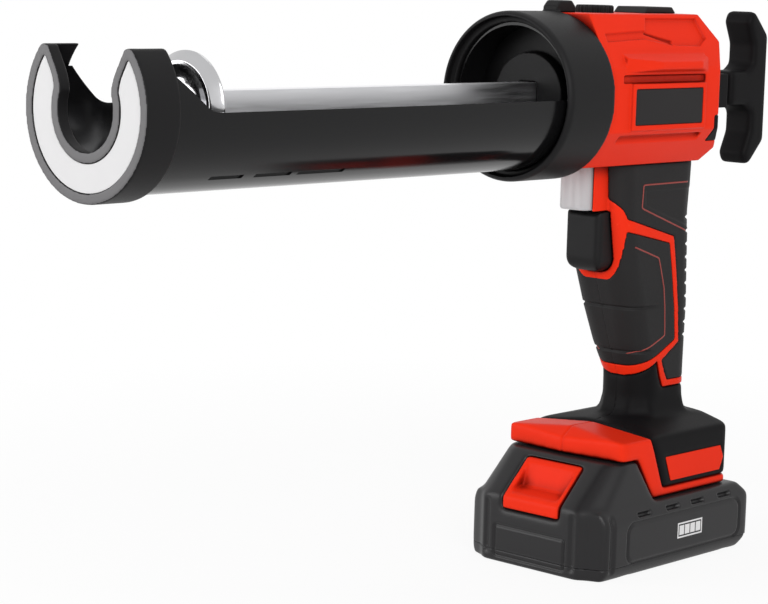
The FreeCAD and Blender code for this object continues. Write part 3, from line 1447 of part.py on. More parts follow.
def dome():
    """The shoulder that rises from the foot to the neck of the grip."""
    body = doc.addObject("PartDesign::Body", "foot_dome")
    base = draw(body, "dome_base", "XY", mirrored_second([
        ("leg_back_high", "dome_brow_half"), ("dome_brow", "dome_half"),
        ("foot_heel", "dome_half"), ("foot_rear", "foot_rear_half"),
    ]), "foot_side_top")
    middle = draw(body, "dome_middle", "XY", mirrored_second([
        ("leg_back_high", "dome_mid_nose_half"), ("dome_mid_cheek", "low_half + flare_reach"),
        ("low_rear + flare_reach - dome_corner / 2", "low_half + flare_reach"),
        ("low_rear + flare_reach", "low_half + flare_reach - dome_corner / 2"),
    ]), "dome_mid_height")
    sections = [middle]
    for angle in FLARE_ANGLES:
        out = "flare_reach * (1 - sin(%d deg))" % angle
        sections.append(draw(body, "dome_flare_%d" % angle, "XY", mirrored_second([
            ("low_front - %s" % out, "low_half - dome_corner"),
            ("low_front + dome_corner", "low_half + %s" % out),
            ("low_rear - dome_corner", "low_half + %s" % out),
            ("low_rear + %s" % out, "low_half - dome_corner"),
        ]), "dome_mid_height + flare_height * (1 - cos(%d deg))" % angle))
    feature = body.newObject("PartDesign::AdditiveLoft", "dome_loft")
    feature.Profile = base
    feature.Sections = sections
    feature.Ruled = True
    return body


def foot_cover(core, neck_rubber):
    side = prism("cover_profile", "XZ", [
        ("leg_back_low", "strip_top"), ("foot_rear", "strip_top"),
        ("foot_rear", "foot_side_top"), ("leg_back_high", "foot_side_top"), ("leg_bend", "leg_bend_height"),
    ], "-foot_half", "foot_half")
    block = common("cover_block", side, foot_plan("cover_plan", "shoe_low", "visor_top"))
    solid = join("cover_solid", [block, dome(), neck_rubber])
    room = box("cover_room", "foot_front", "shoe_box_rear", "-shoe_box_half", "shoe_box_half",
               "strip_top - past", "foot_roof")
    inlay = prism("right_foot_inlay", "XZ", [
        ("inlay_front", "inlay_high"), ("inlay_front + inlay_slant", "inlay_low"),
        ("inlay_rear", "inlay_low"), ("inlay_rear + inlay_point", "(inlay_low + inlay_high) / 2"),
        ("inlay_rear", "inlay_high"),
    ], "foot_half - inlay_depth", "foot_half")
    twin = mirror("left_foot_inlay", inlay)
    cover = cut("cover_whole", solid, room, core, inlay, twin)
    for name in ("left", "right"):
        keep(common(name + "_foot_cover", cover, side_box(name + "_foot_side", name)))
    keep(inlay)
    keep(twin)


# Battery

def battery_block():
    plan = prism("battery_plan", "XY", mirrored_second([
        ("battery_front", "battery_nose_half"), ("battery_column", "battery_column_half"),
        ("battery_flank", "battery_half"), ("battery_rear_corner", "battery_half"),
        ("battery_rear", "battery_rear_half"),
    ]), "0", "battery_top", [([0, 9], "battery_corner_round"), ([2, 7], "battery_corner_round")])
    profile = prism("battery_profile", "XZ", [
        ("battery_front", "0"), ("battery_rear - battery_chamfer", "0"), ("battery_rear", "battery_chamfer"),
        ("battery_rear", "battery_top - battery_chamfer"), ("battery_rear - battery_chamfer", "battery_top"),
        ("battery_front", "battery_top"),
    ], "-battery_half", "battery_half")
    section = prism("battery_section", "YZ", mirrored_first([
        ("battery_floor_half", "0"), ("battery_half", "battery_floor_rise"),
        ("battery_half", "battery_brow"), ("battery_brow_half", "battery_top"),
    ]), "battery_front", "battery_rear")
    return common("battery_block", common("battery_ends", plan, profile), section)


def battery_hump():
    """The raised nose of the battery, which leans back to the shoe's visor."""
    body = doc.addObject("PartDesign::Body", "battery_hump")
    base = draw(body, "hump_base", "XY", mirrored_second([
        ("battery_front", "hump_nose_half"), ("hump_cheek", "hump_cheek_half"),
        ("hump_flank", "hump_half"), ("hump_back_low", "hump_half"),
    ]), "battery_top")
    crest = draw(body, "hump_crest", "XY", mirrored_second([
        ("crest_front", "crest_nose_half"), ("crest_cheek", "crest_cheek_half"),
        ("crest_flank", "crest_half"), ("hump_back", "crest_half"),
    ]), "hump_top")
    feature = body.newObject("PartDesign::AdditiveLoft", "hump_loft")
    feature.Profile = base
    feature.Sections = [crest]
    feature.Ruled = True
    return body


def screw_spots():
    return [(x_name, "pack_screw_%s_x" % x_name, sign) for x_name in ("front", "rear") for sign in ("", "-")]


def battery_latch():
    """A push latch in the slanted nose with a scoop for the thumb."""
    slope = "(crest_front - battery_front) / (hump_top - battery_top)"
    blank = prism("latch_blank", "XZ", [
        ("battery_front", "latch_low"), ("battery_front", "battery_top"),
        ("battery_front + (latch_high - battery_top) * " + slope, "latch_high"),
        ("latch_back", "latch_high"), ("latch_back", "latch_low"),
    ], "-latch_half", "latch_half")
    scoop = prism("latch_scoop", "XZ", [
        ("2 * battery_front", "latch_lip"),
        ("battery_front + (latch_lip - battery_top) * " + slope, "latch_lip"),
        ("scoop_floor_x", "scoop_floor_z"), ("scoop_top_x", "scoop_top_z"),
        ("2 * battery_front", "scoop_top_z"),
    ], "-latch_half + latch_border", "latch_half - latch_border")
    keep(cut("battery_latch", blank, scoop))
    keep(sleeve_x("latch_spring", "latch_spring_radius", "latch_back", "latch_spring_end", "0",
                  "latch_spring_z"))


def battery():
    block = battery_block()
    neck = box("rail_neck", "hump_back - past", "rail_rear", "-rail_neck_half", "rail_neck_half",
               "battery_top - past", "rail_top")
    flange = box("rail_flange", "hump_back - past", "rail_rear", "-rail_half", "rail_half",
                 "strip_top + slide_gap", "rail_top")
    whole = join("battery_whole", [block, battery_hump(), neck, flange])
    cells = box("cell_room", "cell_first - cell_radius", CELL_LAST + " + cell_radius",
                "-cell_length / 2", "cell_length / 2", "battery_seam", CELL_HIGH)
    board = box("pack_board_room", "pack_board_front", "pack_board_rear", "-pack_board_half",
                "pack_board_half",
                "cell_height", CELL_HIGH + " + pack_board_space")
    pocket = box("latch_pocket", "2 * battery_front", "latch_back + latch_travel + slide_gap",
                 "-latch_half - slide_gap", "latch_half + slide_gap",
                 "latch_low - slide_gap", "latch_high + slide_gap")
    spring = rod_x("latch_spring_hole", "latch_spring_radius + slide_gap", "latch_back", "latch_spring_end",
                   "0", "latch_spring_z")
    holes = []
    for name, x, sign in screw_spots():
        label = name + ("_left" if sign else "_right")
        holes.append(rod_z("pack_hole_" + label, "pack_screw_radius + fit_gap", "0",
                           "pack_screw_tip + fit_gap",
                           x, sign + "pack_screw_y"))
        holes.append(rod_z("pack_well_" + label, "pack_screw_head + fit_gap", "-past",
                           "pack_screw_sunk + pack_screw_head_height", x, sign + "pack_screw_y"))
    hollow = cut("battery_hollow", whole, cells, board, pocket, spring, *holes)
    keep(common("battery_base", hollow, box("battery_low", "-far", "far", "-far", "far", "-far",
                                            "battery_seam")))
    keep(common("battery_case", hollow, box("battery_high", "-far", "far", "-far", "far", "battery_seam",
                                            "far")))


def battery_inside():
    cells = []
    for number in range(SIZES["cell_count"]):
        cells.append(rod_y("cell_%d" % number, "cell_radius", "-cell_length / 2", "cell_length / 2",
                           "cell_first + %d * cell_pitch" % number, "cell_height"))
    keep(join("battery_cells", cells))
    top = CELL_HIGH + " + pack_board_space"
    keep(box("battery_board", "pack_board_front", "pack_board_rear", "-pack_board_half", "pack_board_half",
             top + " - pack_board_thickness", top))
    pieces = []
    for name, x, sign in screw_spots():
        label = name + ("_left" if sign else "_right")
        pieces.append(rod_z("pack_top_" + label, "pack_screw_head", "pack_screw_sunk",
                            "pack_screw_sunk + pack_screw_head_height", x, sign + "pack_screw_y"))
        pieces.append(rod_z("pack_shank_" + label, "pack_screw_radius", "pack_screw_sunk + past",
                            "pack_screw_tip",
                            x, sign + "pack_screw_y"))
    keep(join("battery_screws", pieces))


nose()
trough()
collar()
front_guide()
piston()
push_rod()
pull_handle()
gear_train()
motor()
gear_frame()
grip_core, neck_rubber = housing_and_grips()
label_plates()
top_pad()
speed_dial()
rear_guide()
housing_screws()
trigger()
trigger_switch()
release_button()
control_board()
battery_shoe()
foot_cover(grip_core, neck_rubber)
battery_latch()
battery()
battery_inside()
doc.recompute()

for item in doc.Objects:
    if "Invalid" in item.State or "Error" in item.State:
        raise RuntimeError("%s did not build: %s" % (item.Label, item.State))
os.makedirs("parts", exist_ok=True)
for piece in PARTS:
    if piece.Shape.isNull() or not piece.Shape.isValid():
        raise RuntimeError("%s has no valid shape" % piece.Label)
    piece.Shape.exportStep("parts/%s.step" % piece.Label)
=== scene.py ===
import json
import math

import bpy
import numpy as np
from mathutils import Matrix, Vector
from mathutils.bvhtree import BVHTree

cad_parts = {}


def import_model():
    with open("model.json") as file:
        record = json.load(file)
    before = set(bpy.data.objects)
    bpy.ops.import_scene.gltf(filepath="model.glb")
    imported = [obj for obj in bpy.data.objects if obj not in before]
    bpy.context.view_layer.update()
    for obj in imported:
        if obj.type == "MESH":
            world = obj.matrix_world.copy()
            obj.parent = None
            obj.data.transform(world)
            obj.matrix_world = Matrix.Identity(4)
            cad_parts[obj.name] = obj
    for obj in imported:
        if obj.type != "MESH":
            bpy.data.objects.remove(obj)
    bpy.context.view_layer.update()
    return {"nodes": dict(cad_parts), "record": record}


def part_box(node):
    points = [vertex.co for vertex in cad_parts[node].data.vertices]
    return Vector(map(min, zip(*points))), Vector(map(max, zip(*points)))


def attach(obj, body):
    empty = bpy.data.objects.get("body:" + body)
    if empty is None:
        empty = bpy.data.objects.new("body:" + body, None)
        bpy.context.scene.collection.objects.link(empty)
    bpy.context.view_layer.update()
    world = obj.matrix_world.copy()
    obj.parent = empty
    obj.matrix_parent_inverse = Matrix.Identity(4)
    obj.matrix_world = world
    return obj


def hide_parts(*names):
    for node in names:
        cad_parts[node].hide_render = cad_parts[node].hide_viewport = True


# Looks of the cordless caulking tool, in metres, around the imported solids.
# X runs back along the barrel, Y to the tool's right and Z up from the floor.
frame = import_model()

MM = 0.001
NODES = frame["nodes"]
SLOT_OF = {item["node"]: item["material_slot"] for item in frame["record"]["subparts"]}
BODY_OF = {node: body for body, members in frame["record"]["behaviour"]["bodies"].items() for node in members}

# Camera, fitted to the photograph's perspective
CAMERA_PLACE = (-0.85186, -0.65390, 0.26768)
CAMERA_YAW = 46.93
CAMERA_DOWN = 8.10
CAMERA_ROLL = -1.53
LENS = 109.2
SENSOR = 36.0
NEAREST_SEEN = 0.01

# Colours as written values in linear light
RED = (0.84, 0.030, 0.008)
PALE_RED = (0.90, 0.075, 0.030)
DEEP_RED = (0.26, 0.034, 0.026)
# painted shade colour for the red plastic's grooves and inner corners
SHADE_RED = (0.09, 0.002, 0.001)
BLACK = (0.0085, 0.0082, 0.0087)
# paler edge colour for black plastic, raised to paint a highlight on its edges as well as wear
PALE_BLACK = (0.080, 0.078, 0.081)
# painted shade colour for the black plastic's grooves and inner corners
SHADE_BLACK = (0.0015, 0.0014, 0.0016)
DEEP_BLACK = (0.0050, 0.0047, 0.0052)
# pale grey painted on the nose's front border as a painted highlight
LIT_RIM_GREY = (0.125, 0.122, 0.126)
BATTERY_BLACK = (0.0125, 0.0119, 0.0128)
PALE_BATTERY = (0.050, 0.049, 0.052)
RUBBER = (0.0165, 0.0158, 0.0162)
GLOSS_BLACK = (0.0055, 0.0054, 0.0058)
LABEL_BLACK = (0.0165, 0.0148, 0.0152)
FACE_WHITE = (0.66, 0.655, 0.66)
STEEL = (0.50, 0.50, 0.52)
FRAME_STEEL = (0.60, 0.60, 0.62)
MOTOR_STEEL = (0.55, 0.55, 0.56)
SPRING_STEEL = (0.50, 0.50, 0.50)
BRIGHT_STEEL = (0.78, 0.78, 0.80)
SILVER = (0.46, 0.455, 0.465)
CHROME = (0.50, 0.50, 0.51)
BOARD_GREEN = (0.02, 0.16, 0.07)
CELL_BLUE = (0.06, 0.16, 0.36)
PRINT_WHITE = (0.80, 0.80, 0.80)


# Materials

NOISE_LOW = 0.3
NOISE_HIGH = 0.7
EDGE_START = 0.53
EDGE_FULL = 0.62
EDGE_SHARE = 0.35
CLOUD_SCALE = 35
GRAIN_HEIGHT = 0.15 * MM
GRAIN_SMOOTH = 0.05
GRAIN_ROUGH = 0.06
LINE_HEIGHT = 0.05 * MM
LINE_SPREAD = 0.06
LINE_SMOOTH = 0.8
LINE_ROUGH = 1.25
WAVE_SCALE = 60
WAVE_HEIGHT = 0.4 * MM
WAVE_STRENGTH = 0.02
COAT_ROUGHNESS = 0.05
# the painted shade in hollows: how far it looks for nearby surfaces, its samples, and the occlusion range
# over which it fades from full to none
HOLLOW_REACH = 7 * MM
HOLLOW_SAMPLES = 8
HOLLOW_DARK = 0.48
HOLLOW_CLEAR = 0.93


def nodes_of(name):
    """A new material with its tree and its shader."""
    material = bpy.data.materials.new(name)
    material.use_nodes = True
    tree = material.node_tree
    shader = tree.nodes["Principled BSDF"]
    return material, tree, shader


def add(tree, kind, links=(), **settings):
    """Adds a node; settings are its inputs by name, links are (input, socket) pairs."""
    node = tree.nodes.new(kind)
    for key, value in settings.items():
        node.inputs[key.replace("_", " ")].default_value = value
    for key, socket in links:
        tree.links.new(socket, node.inputs[key])
    return node


def noise(tree, scale, detail, stretch=(1, 1, 1)):
    """Noise in the object's own space, so many grains to the metre."""
    place = tree.nodes.new("ShaderNodeTexCoord")
    mapping = add(tree, "ShaderNodeMapping", [("Vector", place.outputs["Object"])], Scale=stretch)
    source = [("Vector", mapping.outputs["Vector"])]
    return add(tree, "ShaderNodeTexNoise", source, Scale=scale, Detail=detail)


def ramp(tree, socket, low, high, bottom, top):
    """Maps a value from low..high to bottom..top."""
    node = add(tree, "ShaderNodeMapRange", [("Value", socket)])
    for key, value in (("From Min", low), ("From Max", high), ("To Min", bottom), ("To Max", top)):
        node.inputs[key].default_value = value
    return node.outputs["Result"]


def shade(tree, colour, socket, spread):
    """The colour made lighter and darker by a value around one half."""
    mix = tree.nodes.new("ShaderNodeMix")
    mix.data_type = "RGBA"
    mix.inputs["A"].default_value = (*[c * (1 - spread) for c in colour], 1)
    mix.inputs["B"].default_value = (*[min(1, c * (1 + spread)) for c in colour], 1)
    tree.links.new(socket, mix.inputs["Factor"])
    return mix.outputs["Result"]


def edge_wear_and_highlight(tree, colour_socket, pale):
    """Pales the colour a little along outer edges: partly rubbed wear, partly a painted highlight."""
    geometry = tree.nodes.new("ShaderNodeNewGeometry")
    edge = ramp(tree, geometry.outputs["Pointiness"], EDGE_START, EDGE_FULL, 0, EDGE_SHARE)
    mix = tree.nodes.new("ShaderNodeMix")
    mix.data_type = "RGBA"
    mix.inputs["B"].default_value = (*pale, 1)
    tree.links.new(edge, mix.inputs["Factor"])
    tree.links.new(colour_socket, mix.inputs["A"])
    return mix.outputs["Result"]


def painted_hollow_shade(tree, colour_socket, shade_tone):
    """Painted shade: darkens the colour in grooves and inner corners, by how closed in each point is."""
    open_sky = add(tree, "ShaderNodeAmbientOcclusion", Distance=HOLLOW_REACH)
    open_sky.samples = HOLLOW_SAMPLES
    share = ramp(tree, open_sky.outputs["AO"], HOLLOW_DARK, HOLLOW_CLEAR, 0, 1)
    mix = tree.nodes.new("ShaderNodeMix")
    mix.data_type = "RGBA"
    mix.inputs["A"].default_value = (*shade_tone, 1)
    tree.links.new(share, mix.inputs["Factor"])
    tree.links.new(colour_socket, mix.inputs["B"])
    return mix.outputs["Result"]


def roughen(tree, shader, socket, least, most):
    """Spreads the shader's roughness between two values by a noise."""
    tree.links.new(ramp(tree, socket, NOISE_LOW, NOISE_HIGH, least, most), shader.inputs["Roughness"])


def bumps(tree, shader, socket, strength, height):
    """Lifts the shader's surface by a noise, as fine relief."""
    bump = add(tree, "ShaderNodeBump", [("Height", socket)], Strength=strength, Distance=height)
    tree.links.new(bump.outputs["Normal"], shader.inputs["Normal"])


def plastic(name, colour, rough, grain=2600, depth=0.10, spread=0.05, specular=0.5, pale=None, shade_tone=None):
    """Moulded plastic: fine grain, faint cloudiness, slightly rubbed edges with a painted highlight, and
    painted shade in hollows.
    """
    material, tree, shader = nodes_of(name)
    cloud = noise(tree, CLOUD_SCALE, detail=3)
    toned = shade(tree, colour, cloud.outputs["Fac"], spread)
    if pale:
        toned = edge_wear_and_highlight(tree, toned, pale)
    if shade_tone:
        toned = painted_hollow_shade(tree, toned, shade_tone)
    tree.links.new(toned, shader.inputs["Base Color"])
    speck = noise(tree, grain, detail=2)
    roughen(tree, shader, speck.outputs["Fac"], rough - GRAIN_SMOOTH, rough + GRAIN_ROUGH)
    bumps(tree, shader, speck.outputs["Fac"], depth, GRAIN_HEIGHT)
    shader.inputs["Specular IOR Level"].default_value = specular
    return material


def metal(name, colour, rough, stretch, grain=900, depth=0.05):
    """Bare metal with fine drawn or turned lines."""
    material, tree, shader = nodes_of(name)
    lines = noise(tree, grain, 3, stretch)
    tree.links.new(shade(tree, colour, lines.outputs["Fac"], LINE_SPREAD), shader.inputs["Base Color"])
    roughen(tree, shader, lines.outputs["Fac"], rough * LINE_SMOOTH, rough * LINE_ROUGH)
    bumps(tree, shader, lines.outputs["Fac"], depth, LINE_HEIGHT)
    shader.inputs["Metallic"].default_value = 1
    return material


def gloss(name, colour, rough, coat, spread=0.04, specular=0.5, stretch=(1, 1, 1), sheen=0.15):
    """A smooth lacquered skin with a faint waviness."""
    material, tree, shader = nodes_of(name)
    wave = noise(tree, WAVE_SCALE, 2, stretch)
    tree.links.new(shade(tree, colour, wave.outputs["Fac"], spread), shader.inputs["Base Color"])
    roughen(tree, shader, wave.outputs["Fac"], rough * (1 - sheen), rough * (1 + sheen))
    bumps(tree, shader, wave.outputs["Fac"], WAVE_STRENGTH, WAVE_HEIGHT)
    shader.inputs["Specular IOR Level"].default_value = specular
    shader.inputs["Coat Weight"].default_value = coat
    shader.inputs["Coat Roughness"].default_value = COAT_ROUGHNESS
    return material


# red_plastic and black_plastic get painted shade in their hollows
MATERIALS = {
    "red_plastic": plastic("red_plastic", RED, 0.40, depth=0.06, spread=0.05, specular=0.06,
                           pale=PALE_RED, shade_tone=SHADE_RED),
    "black_plastic": plastic("black_plastic", BLACK, 0.48, depth=0.12, spread=0.10, specular=0.13,
                             pale=PALE_BLACK, shade_tone=SHADE_BLACK),
    "deep_black": plastic("deep_black", DEEP_BLACK, 0.52, depth=0.10, spread=0.10, specular=0.07, pale=BLACK),
    # a painted highlight for the nose's front border
    "lit_rim_grey": plastic("lit_rim_grey", LIT_RIM_GREY, 0.40, depth=0.06, spread=0.06, specular=0.20),
    "black_rubber": plastic("black_rubber", RUBBER, 0.58, grain=1900, depth=0.20, spread=0.12, specular=0.14),
    "black_tube": gloss("black_tube", GLOSS_BLACK, 0.20, 0.0, specular=0.18, stretch=(0.05, 1, 1), sheen=0.5),
    "rod_steel": metal("rod_steel", BRIGHT_STEEL, 0.36, (0.04, 1, 1)),
    "chrome_plate": metal("chrome_plate", CHROME, 0.13, (1, 0.2, 0.2), grain=300, depth=0.01),
    "silver_button": gloss("silver_button", SILVER, 0.34, 0.0, spread=0.10, stretch=(1, 1, 0.05)),
    "bright_face": gloss("bright_face", FACE_WHITE, 0.40, 0.0, spread=0.05, specular=0.2),
    "label_black": gloss("label_black", LABEL_BLACK, 0.42, 0.0, spread=0.14, specular=0.12),
    "screw_steel": metal("screw_steel", STEEL, 0.32, (1, 1, 1)),
    "gear_steel": metal("gear_steel", STEEL, 0.30, (1, 0.1, 1)),
    "frame_metal": metal("frame_metal", FRAME_STEEL, 0.36, (0.1, 1, 1)),
    "motor_steel": metal("motor_steel", MOTOR_STEEL, 0.30, (1, 0.05, 1)),
    "board_green": gloss("board_green", BOARD_GREEN, 0.35, 0.2, spread=0.15),
    "cell_wrap": gloss("cell_wrap", CELL_BLUE, 0.30, 0.3, spread=0.08),
    "spring_steel": metal("spring_steel", SPRING_STEEL, 0.26, (0.3, 1, 1)),
    "battery_black": plastic("battery_black", BATTERY_BLACK, 0.36, grain=2200, depth=0.12, spread=0.10,
                             specular=0.26, pale=PALE_BATTERY),
    "inlay_line": plastic("inlay_line", DEEP_RED, 0.5, depth=0.05, spread=0.1),
    "print_white": plastic("print_white", PRINT_WHITE, 0.5, depth=0.03, spread=0.04),
}


def paint(piece, material):
    piece.data.materials.clear()
    piece.data.materials.append(MATERIALS[material])


# Moulded pieces

# A seam is an axis and a place on it. Points within a share of the grid from it belong to it,
# and its flat face is where the normal turns along the axis.
MIDDLE = (1, 0.0)
BATTERY_SEAM = (2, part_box("battery_case")[0].z)
SEAM_REACH = 0.8
SEAM_FACING = 0.9


def link(piece, body):
    bpy.context.scene.collection.objects.link(piece)
    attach(piece, body)
    return piece


def even_mesh(node, grid):
    """The node's shape on an even grid."""
    work = bpy.data.objects.new("work", NODES[node].data.copy())
    bpy.context.scene.collection.objects.link(work)
    remesh = work.modifiers.new("even_grid", "REMESH")
    remesh.mode = "VOXEL"
    remesh.voxel_size = grid
    graph = bpy.context.evaluated_depsgraph_get()
    mesh = bpy.data.meshes.new_from_object(work.evaluated_get(graph))
    bpy.data.objects.remove(work)
    mesh.shade_smooth()
    return mesh


def arrays(mesh):
    """Points and normals of a mesh as two tables of three columns."""
    count = len(mesh.vertices)
    points = np.empty(count * 3, np.float32)
    normals = np.empty(count * 3, np.float32)
    mesh.vertices.foreach_get("co", points)
    mesh.vertices.foreach_get("normal", normals)
    return points.reshape(-1, 3).astype(float), normals.reshape(-1, 3).astype(float)


def set_points(mesh, points):
    mesh.vertices.foreach_set("co", points.astype(np.float32).ravel())
    mesh.update()


def on_seam(points, grid, seam):
    """Which points lie on a seam, given as an axis and a place on it."""
    if not seam:
        return np.zeros(len(points), bool)
    axis, place = seam
    return np.abs(points[:, axis] - place) < SEAM_REACH * grid


def round_edges(mesh, passes, grid, seam, hold):
    """Draws each point half way to the middle of its neighbours, so that edges wear round.

    A seam stays a fine line: its points keep to their plane, and the outer skin isn't drawn in
    by the flat face behind the seam. What hold returns is each point's share that isn't worn.
    """
    points, normals = arrays(mesh)
    ends = np.empty(len(mesh.edges) * 2, np.int32)
    mesh.edges.foreach_get("vertices", ends)
    ends = ends.reshape(-1, 2)
    ends = np.concatenate([ends, ends[:, ::-1]])
    held = on_seam(points, grid, seam)
    if seam:
        axis = seam[0]
        inside = held & (np.abs(normals[:, axis]) > SEAM_FACING)
        ends = ends[inside[ends[:, 0]] | ~inside[ends[:, 1]]]
    count = np.maximum(np.bincount(ends[:, 0], minlength=len(points)), 1)
    kept = points.copy()
    for _ in range(passes):
        middle = [np.bincount(ends[:, 0], points[ends[:, 1], k], len(points)) / count for k in range(3)]
        points = (points + np.stack(middle, 1)) / 2
        if seam:
            points[held, axis] = kept[held, axis]
    if hold:
        points += (kept - points) * hold(kept)[:, None]
    set_points(mesh, points)


def moulded(node, grid=0.6 * MM, passes=5, carve=None, material=None, seam=None, hold=None):
    """Stands a rounded copy in for a node; carve returns how deep each point is pressed in."""
    mesh = even_mesh(node, grid)
    round_edges(mesh, passes, grid, seam, hold)
    if carve:
        points, normals = arrays(mesh)
        if seam:
            normals[on_seam(points, grid, seam), seam[0]] = 0
        set_points(mesh, points - normals * carve(points, normals)[:, None])
    piece = bpy.data.objects.new(node + "_moulded", mesh)
    slot = SLOT_OF[node]
    paint(piece, material or slot)
    link(piece, BODY_OF[node])
    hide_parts(node)
    return piece


def dip(distance, half_width):
    """A round-bottomed groove profile: 1 on its middle line, 0 at its edges."""
    share = np.clip(np.abs(distance) / half_width, 0, 1)
    return (1 - share ** 2) ** 2


def step(value, edge):
    """Rises smoothly from 0 to 1 as value passes 0, over a width of edge."""
    share = np.clip(value / edge + 0.5, 0, 1)
    return share * share * (3 - 2 * share)


def facing(share, least, blend):
    """Rises from 0 to 1 as faces turn to a side, by the share of their normal that points there."""
    return step(share - least, blend)


def box_distance(u, v, low, high, corner):
    """Distance outside (positive) or inside (negative) a rectangle with round corners."""
    middle_u, middle_v = (low[0] + high[0]) / 2, (low[1] + high[1]) / 2
    half_u, half_v = (high[0] - low[0]) / 2, (high[1] - low[1]) / 2
    du = np.abs(u - middle_u) - half_u + corner
    dv = np.abs(v - middle_v) - half_v + corner
    outside = np.hypot(np.maximum(du, 0), np.maximum(dv, 0))
    return outside + np.minimum(np.maximum(du, dv), 0) - corner


def polygon_distance(u, v, corners):
    """Distance outside (positive) or inside (negative) a closed outline of straight sides."""
    nearest = np.full(len(u), 1e9)
    inside = np.zeros(len(u), bool)
    for (u0, v0), (u1, v1) in zip(corners, corners[1:] + corners[:1]):
        run, rise = u1 - u0, v1 - v0
        along = np.clip(((u - u0) * run + (v - v0) * rise) / (run ** 2 + rise ** 2), 0, 1)
        nearest = np.minimum(nearest, np.hypot(u - u0 - along * run, v - v0 - along * rise))
        crosses = (v0 > v) != (v1 > v)
        with np.errstate(divide="ignore", invalid="ignore"):
            left = u < run * (v - v0) / rise + u0
        inside ^= crosses & left
    return np.where(inside, -nearest, nearest)


# Grip

PAD_SEAM_HEIGHTS = (0.1170, 0.0955)
PAD_SEAM_END = 0.014
PAD_SEAM_FADE = 0.008
PAD_SEAM_SAG = 0.10
PAD_SEAM_SAG_START = 0.002
PAD_SEAM_SAG_LENGTH = 0.02
PAD_SEAM_DEPTH = 0.9 * MM
PAD_SEAM_HALF = 1.1 * MM
NOTCH_LOW = 0.098
NOTCH_HIGH = 0.160
NOTCH_PITCH = 0.0062
NOTCH_DEPTH = 0.9 * MM
NOTCH_HALF = 1.2 * MM
UPPER_PANEL_DEPTH = 0.6 * MM
UPPER_PANEL_EDGE = 1.2 * MM
GRIP_LINE_WIDTH = 0.8 * MM
GRIP_LINE_PROUD = 0.2 * MM
GRIP_LINE_EASE = 0.12
GRIP_LINE_STEPS = 8
GRIP_LINE_PROFILE = [(-0.5, -0.6), (-0.42, 0.55), (-0.2, 1.0), (0.2, 1.0), (0.42, 0.55), (0.5, -0.6)]
BESIDE_GRIP = 0.1
UPPER_LOOP = [(0.0345, 0.1741), (0.0006, 0.1740), (0.0, 0.1634), (0.0345, 0.1512)]
UPPER_PANEL = [(0.0400, 0.1710), (0.0027, 0.1708), (0.0032, 0.1645), (0.0400, 0.1520)]
INNER_LOOP = [(-0.0040, 0.1458), (0.0141, 0.1397), (0.0191, 0.1255), (0.0228, 0.1025), (0.0010, 0.0932)]


def front_grip_press(points, normals):
    """Two seams between the finger pads."""
    x, z = points[:, 0], points[:, 2]
    outer = np.clip(np.abs(normals[:, 1]) + np.clip(-normals[:, 0], 0, 1), 0, 1)
    fade = step(PAD_SEAM_END - x, PAD_SEAM_FADE)
    press = np.zeros(len(x))
    for height in PAD_SEAM_HEIGHTS:
        sag = height + PAD_SEAM_SAG * np.clip(-x - PAD_SEAM_SAG_START, 0, PAD_SEAM_SAG_LENGTH)
        press += PAD_SEAM_DEPTH * dip(z - sag, PAD_SEAM_HALF) * fade
    return press * outer


def rear_grip_press(points, normals):
    """A row of notches down the back and the sunk panel behind the trigger."""
    x, z = points[:, 0], points[:, 2]
    behind = facing(normals[:, 0], least=0.35, blend=0.3)
    row = (z - NOTCH_LOW) % NOTCH_PITCH - NOTCH_PITCH / 2
    inside = (z > NOTCH_LOW) & (z < NOTCH_HIGH)
    press = NOTCH_DEPTH * dip(row, NOTCH_HALF) * inside * behind
    panel = polygon_distance(x, z, UPPER_PANEL)
    aside = facing(np.abs(normals[:, 1]), least=0.5, blend=0.4)
    return press + UPPER_PANEL_DEPTH * step(-panel, UPPER_PANEL_EDGE) * aside


def eased(route):
    """The route's points, each with one a little before and one a little after it to round its corner."""
    stops = []
    for place, (x, z) in enumerate(route):
        before = route[place - 1] if place else None
        after = route[place + 1] if place + 1 < len(route) else None
        if before:
            stops.append((x + GRIP_LINE_EASE * (before[0] - x), z + GRIP_LINE_EASE * (before[1] - z)))
        stops.append((x, z))
        if after:
            stops.append((x + GRIP_LINE_EASE * (after[0] - x), z + GRIP_LINE_EASE * (after[1] - z)))
    return stops


def smooth_line(name, route):
    """Points along a smooth curve through the middle plane that follows a side-view route."""
    curve = bpy.data.curves.new(name + "_route", "CURVE")
    curve.dimensions = "3D"
    curve.resolution_u = GRIP_LINE_STEPS
    stops = eased(route)
    spline = curve.splines.new("NURBS")
    spline.points.add(len(stops) - 1)
    for point, (x, z) in zip(spline.points, stops):
        point.co = (x, 0, z, 1)
    spline.order_u = 3
    spline.use_endpoint_u = True
    work = bpy.data.objects.new("work", curve)
    bpy.context.scene.collection.objects.link(work)
    graph = bpy.context.evaluated_depsgraph_get()
    line = [v.co.copy() for v in bpy.data.meshes.new_from_object(work.evaluated_get(graph)).vertices]
    bpy.data.objects.remove(work)
    return line


def tube_faces(rings, count):
    """Faces of a closed tube of so many rings with so many points each."""
    faces = []
    for first in range(0, (rings - 1) * count, count):
        for k in range(count):
            after = (k + 1) % count
            faces.append([first + k, first + after, first + count + after, first + count + k])
    faces.append(list(range(count))[::-1])
    faces.append([(rings - 1) * count + k for k in range(count)])
    return faces


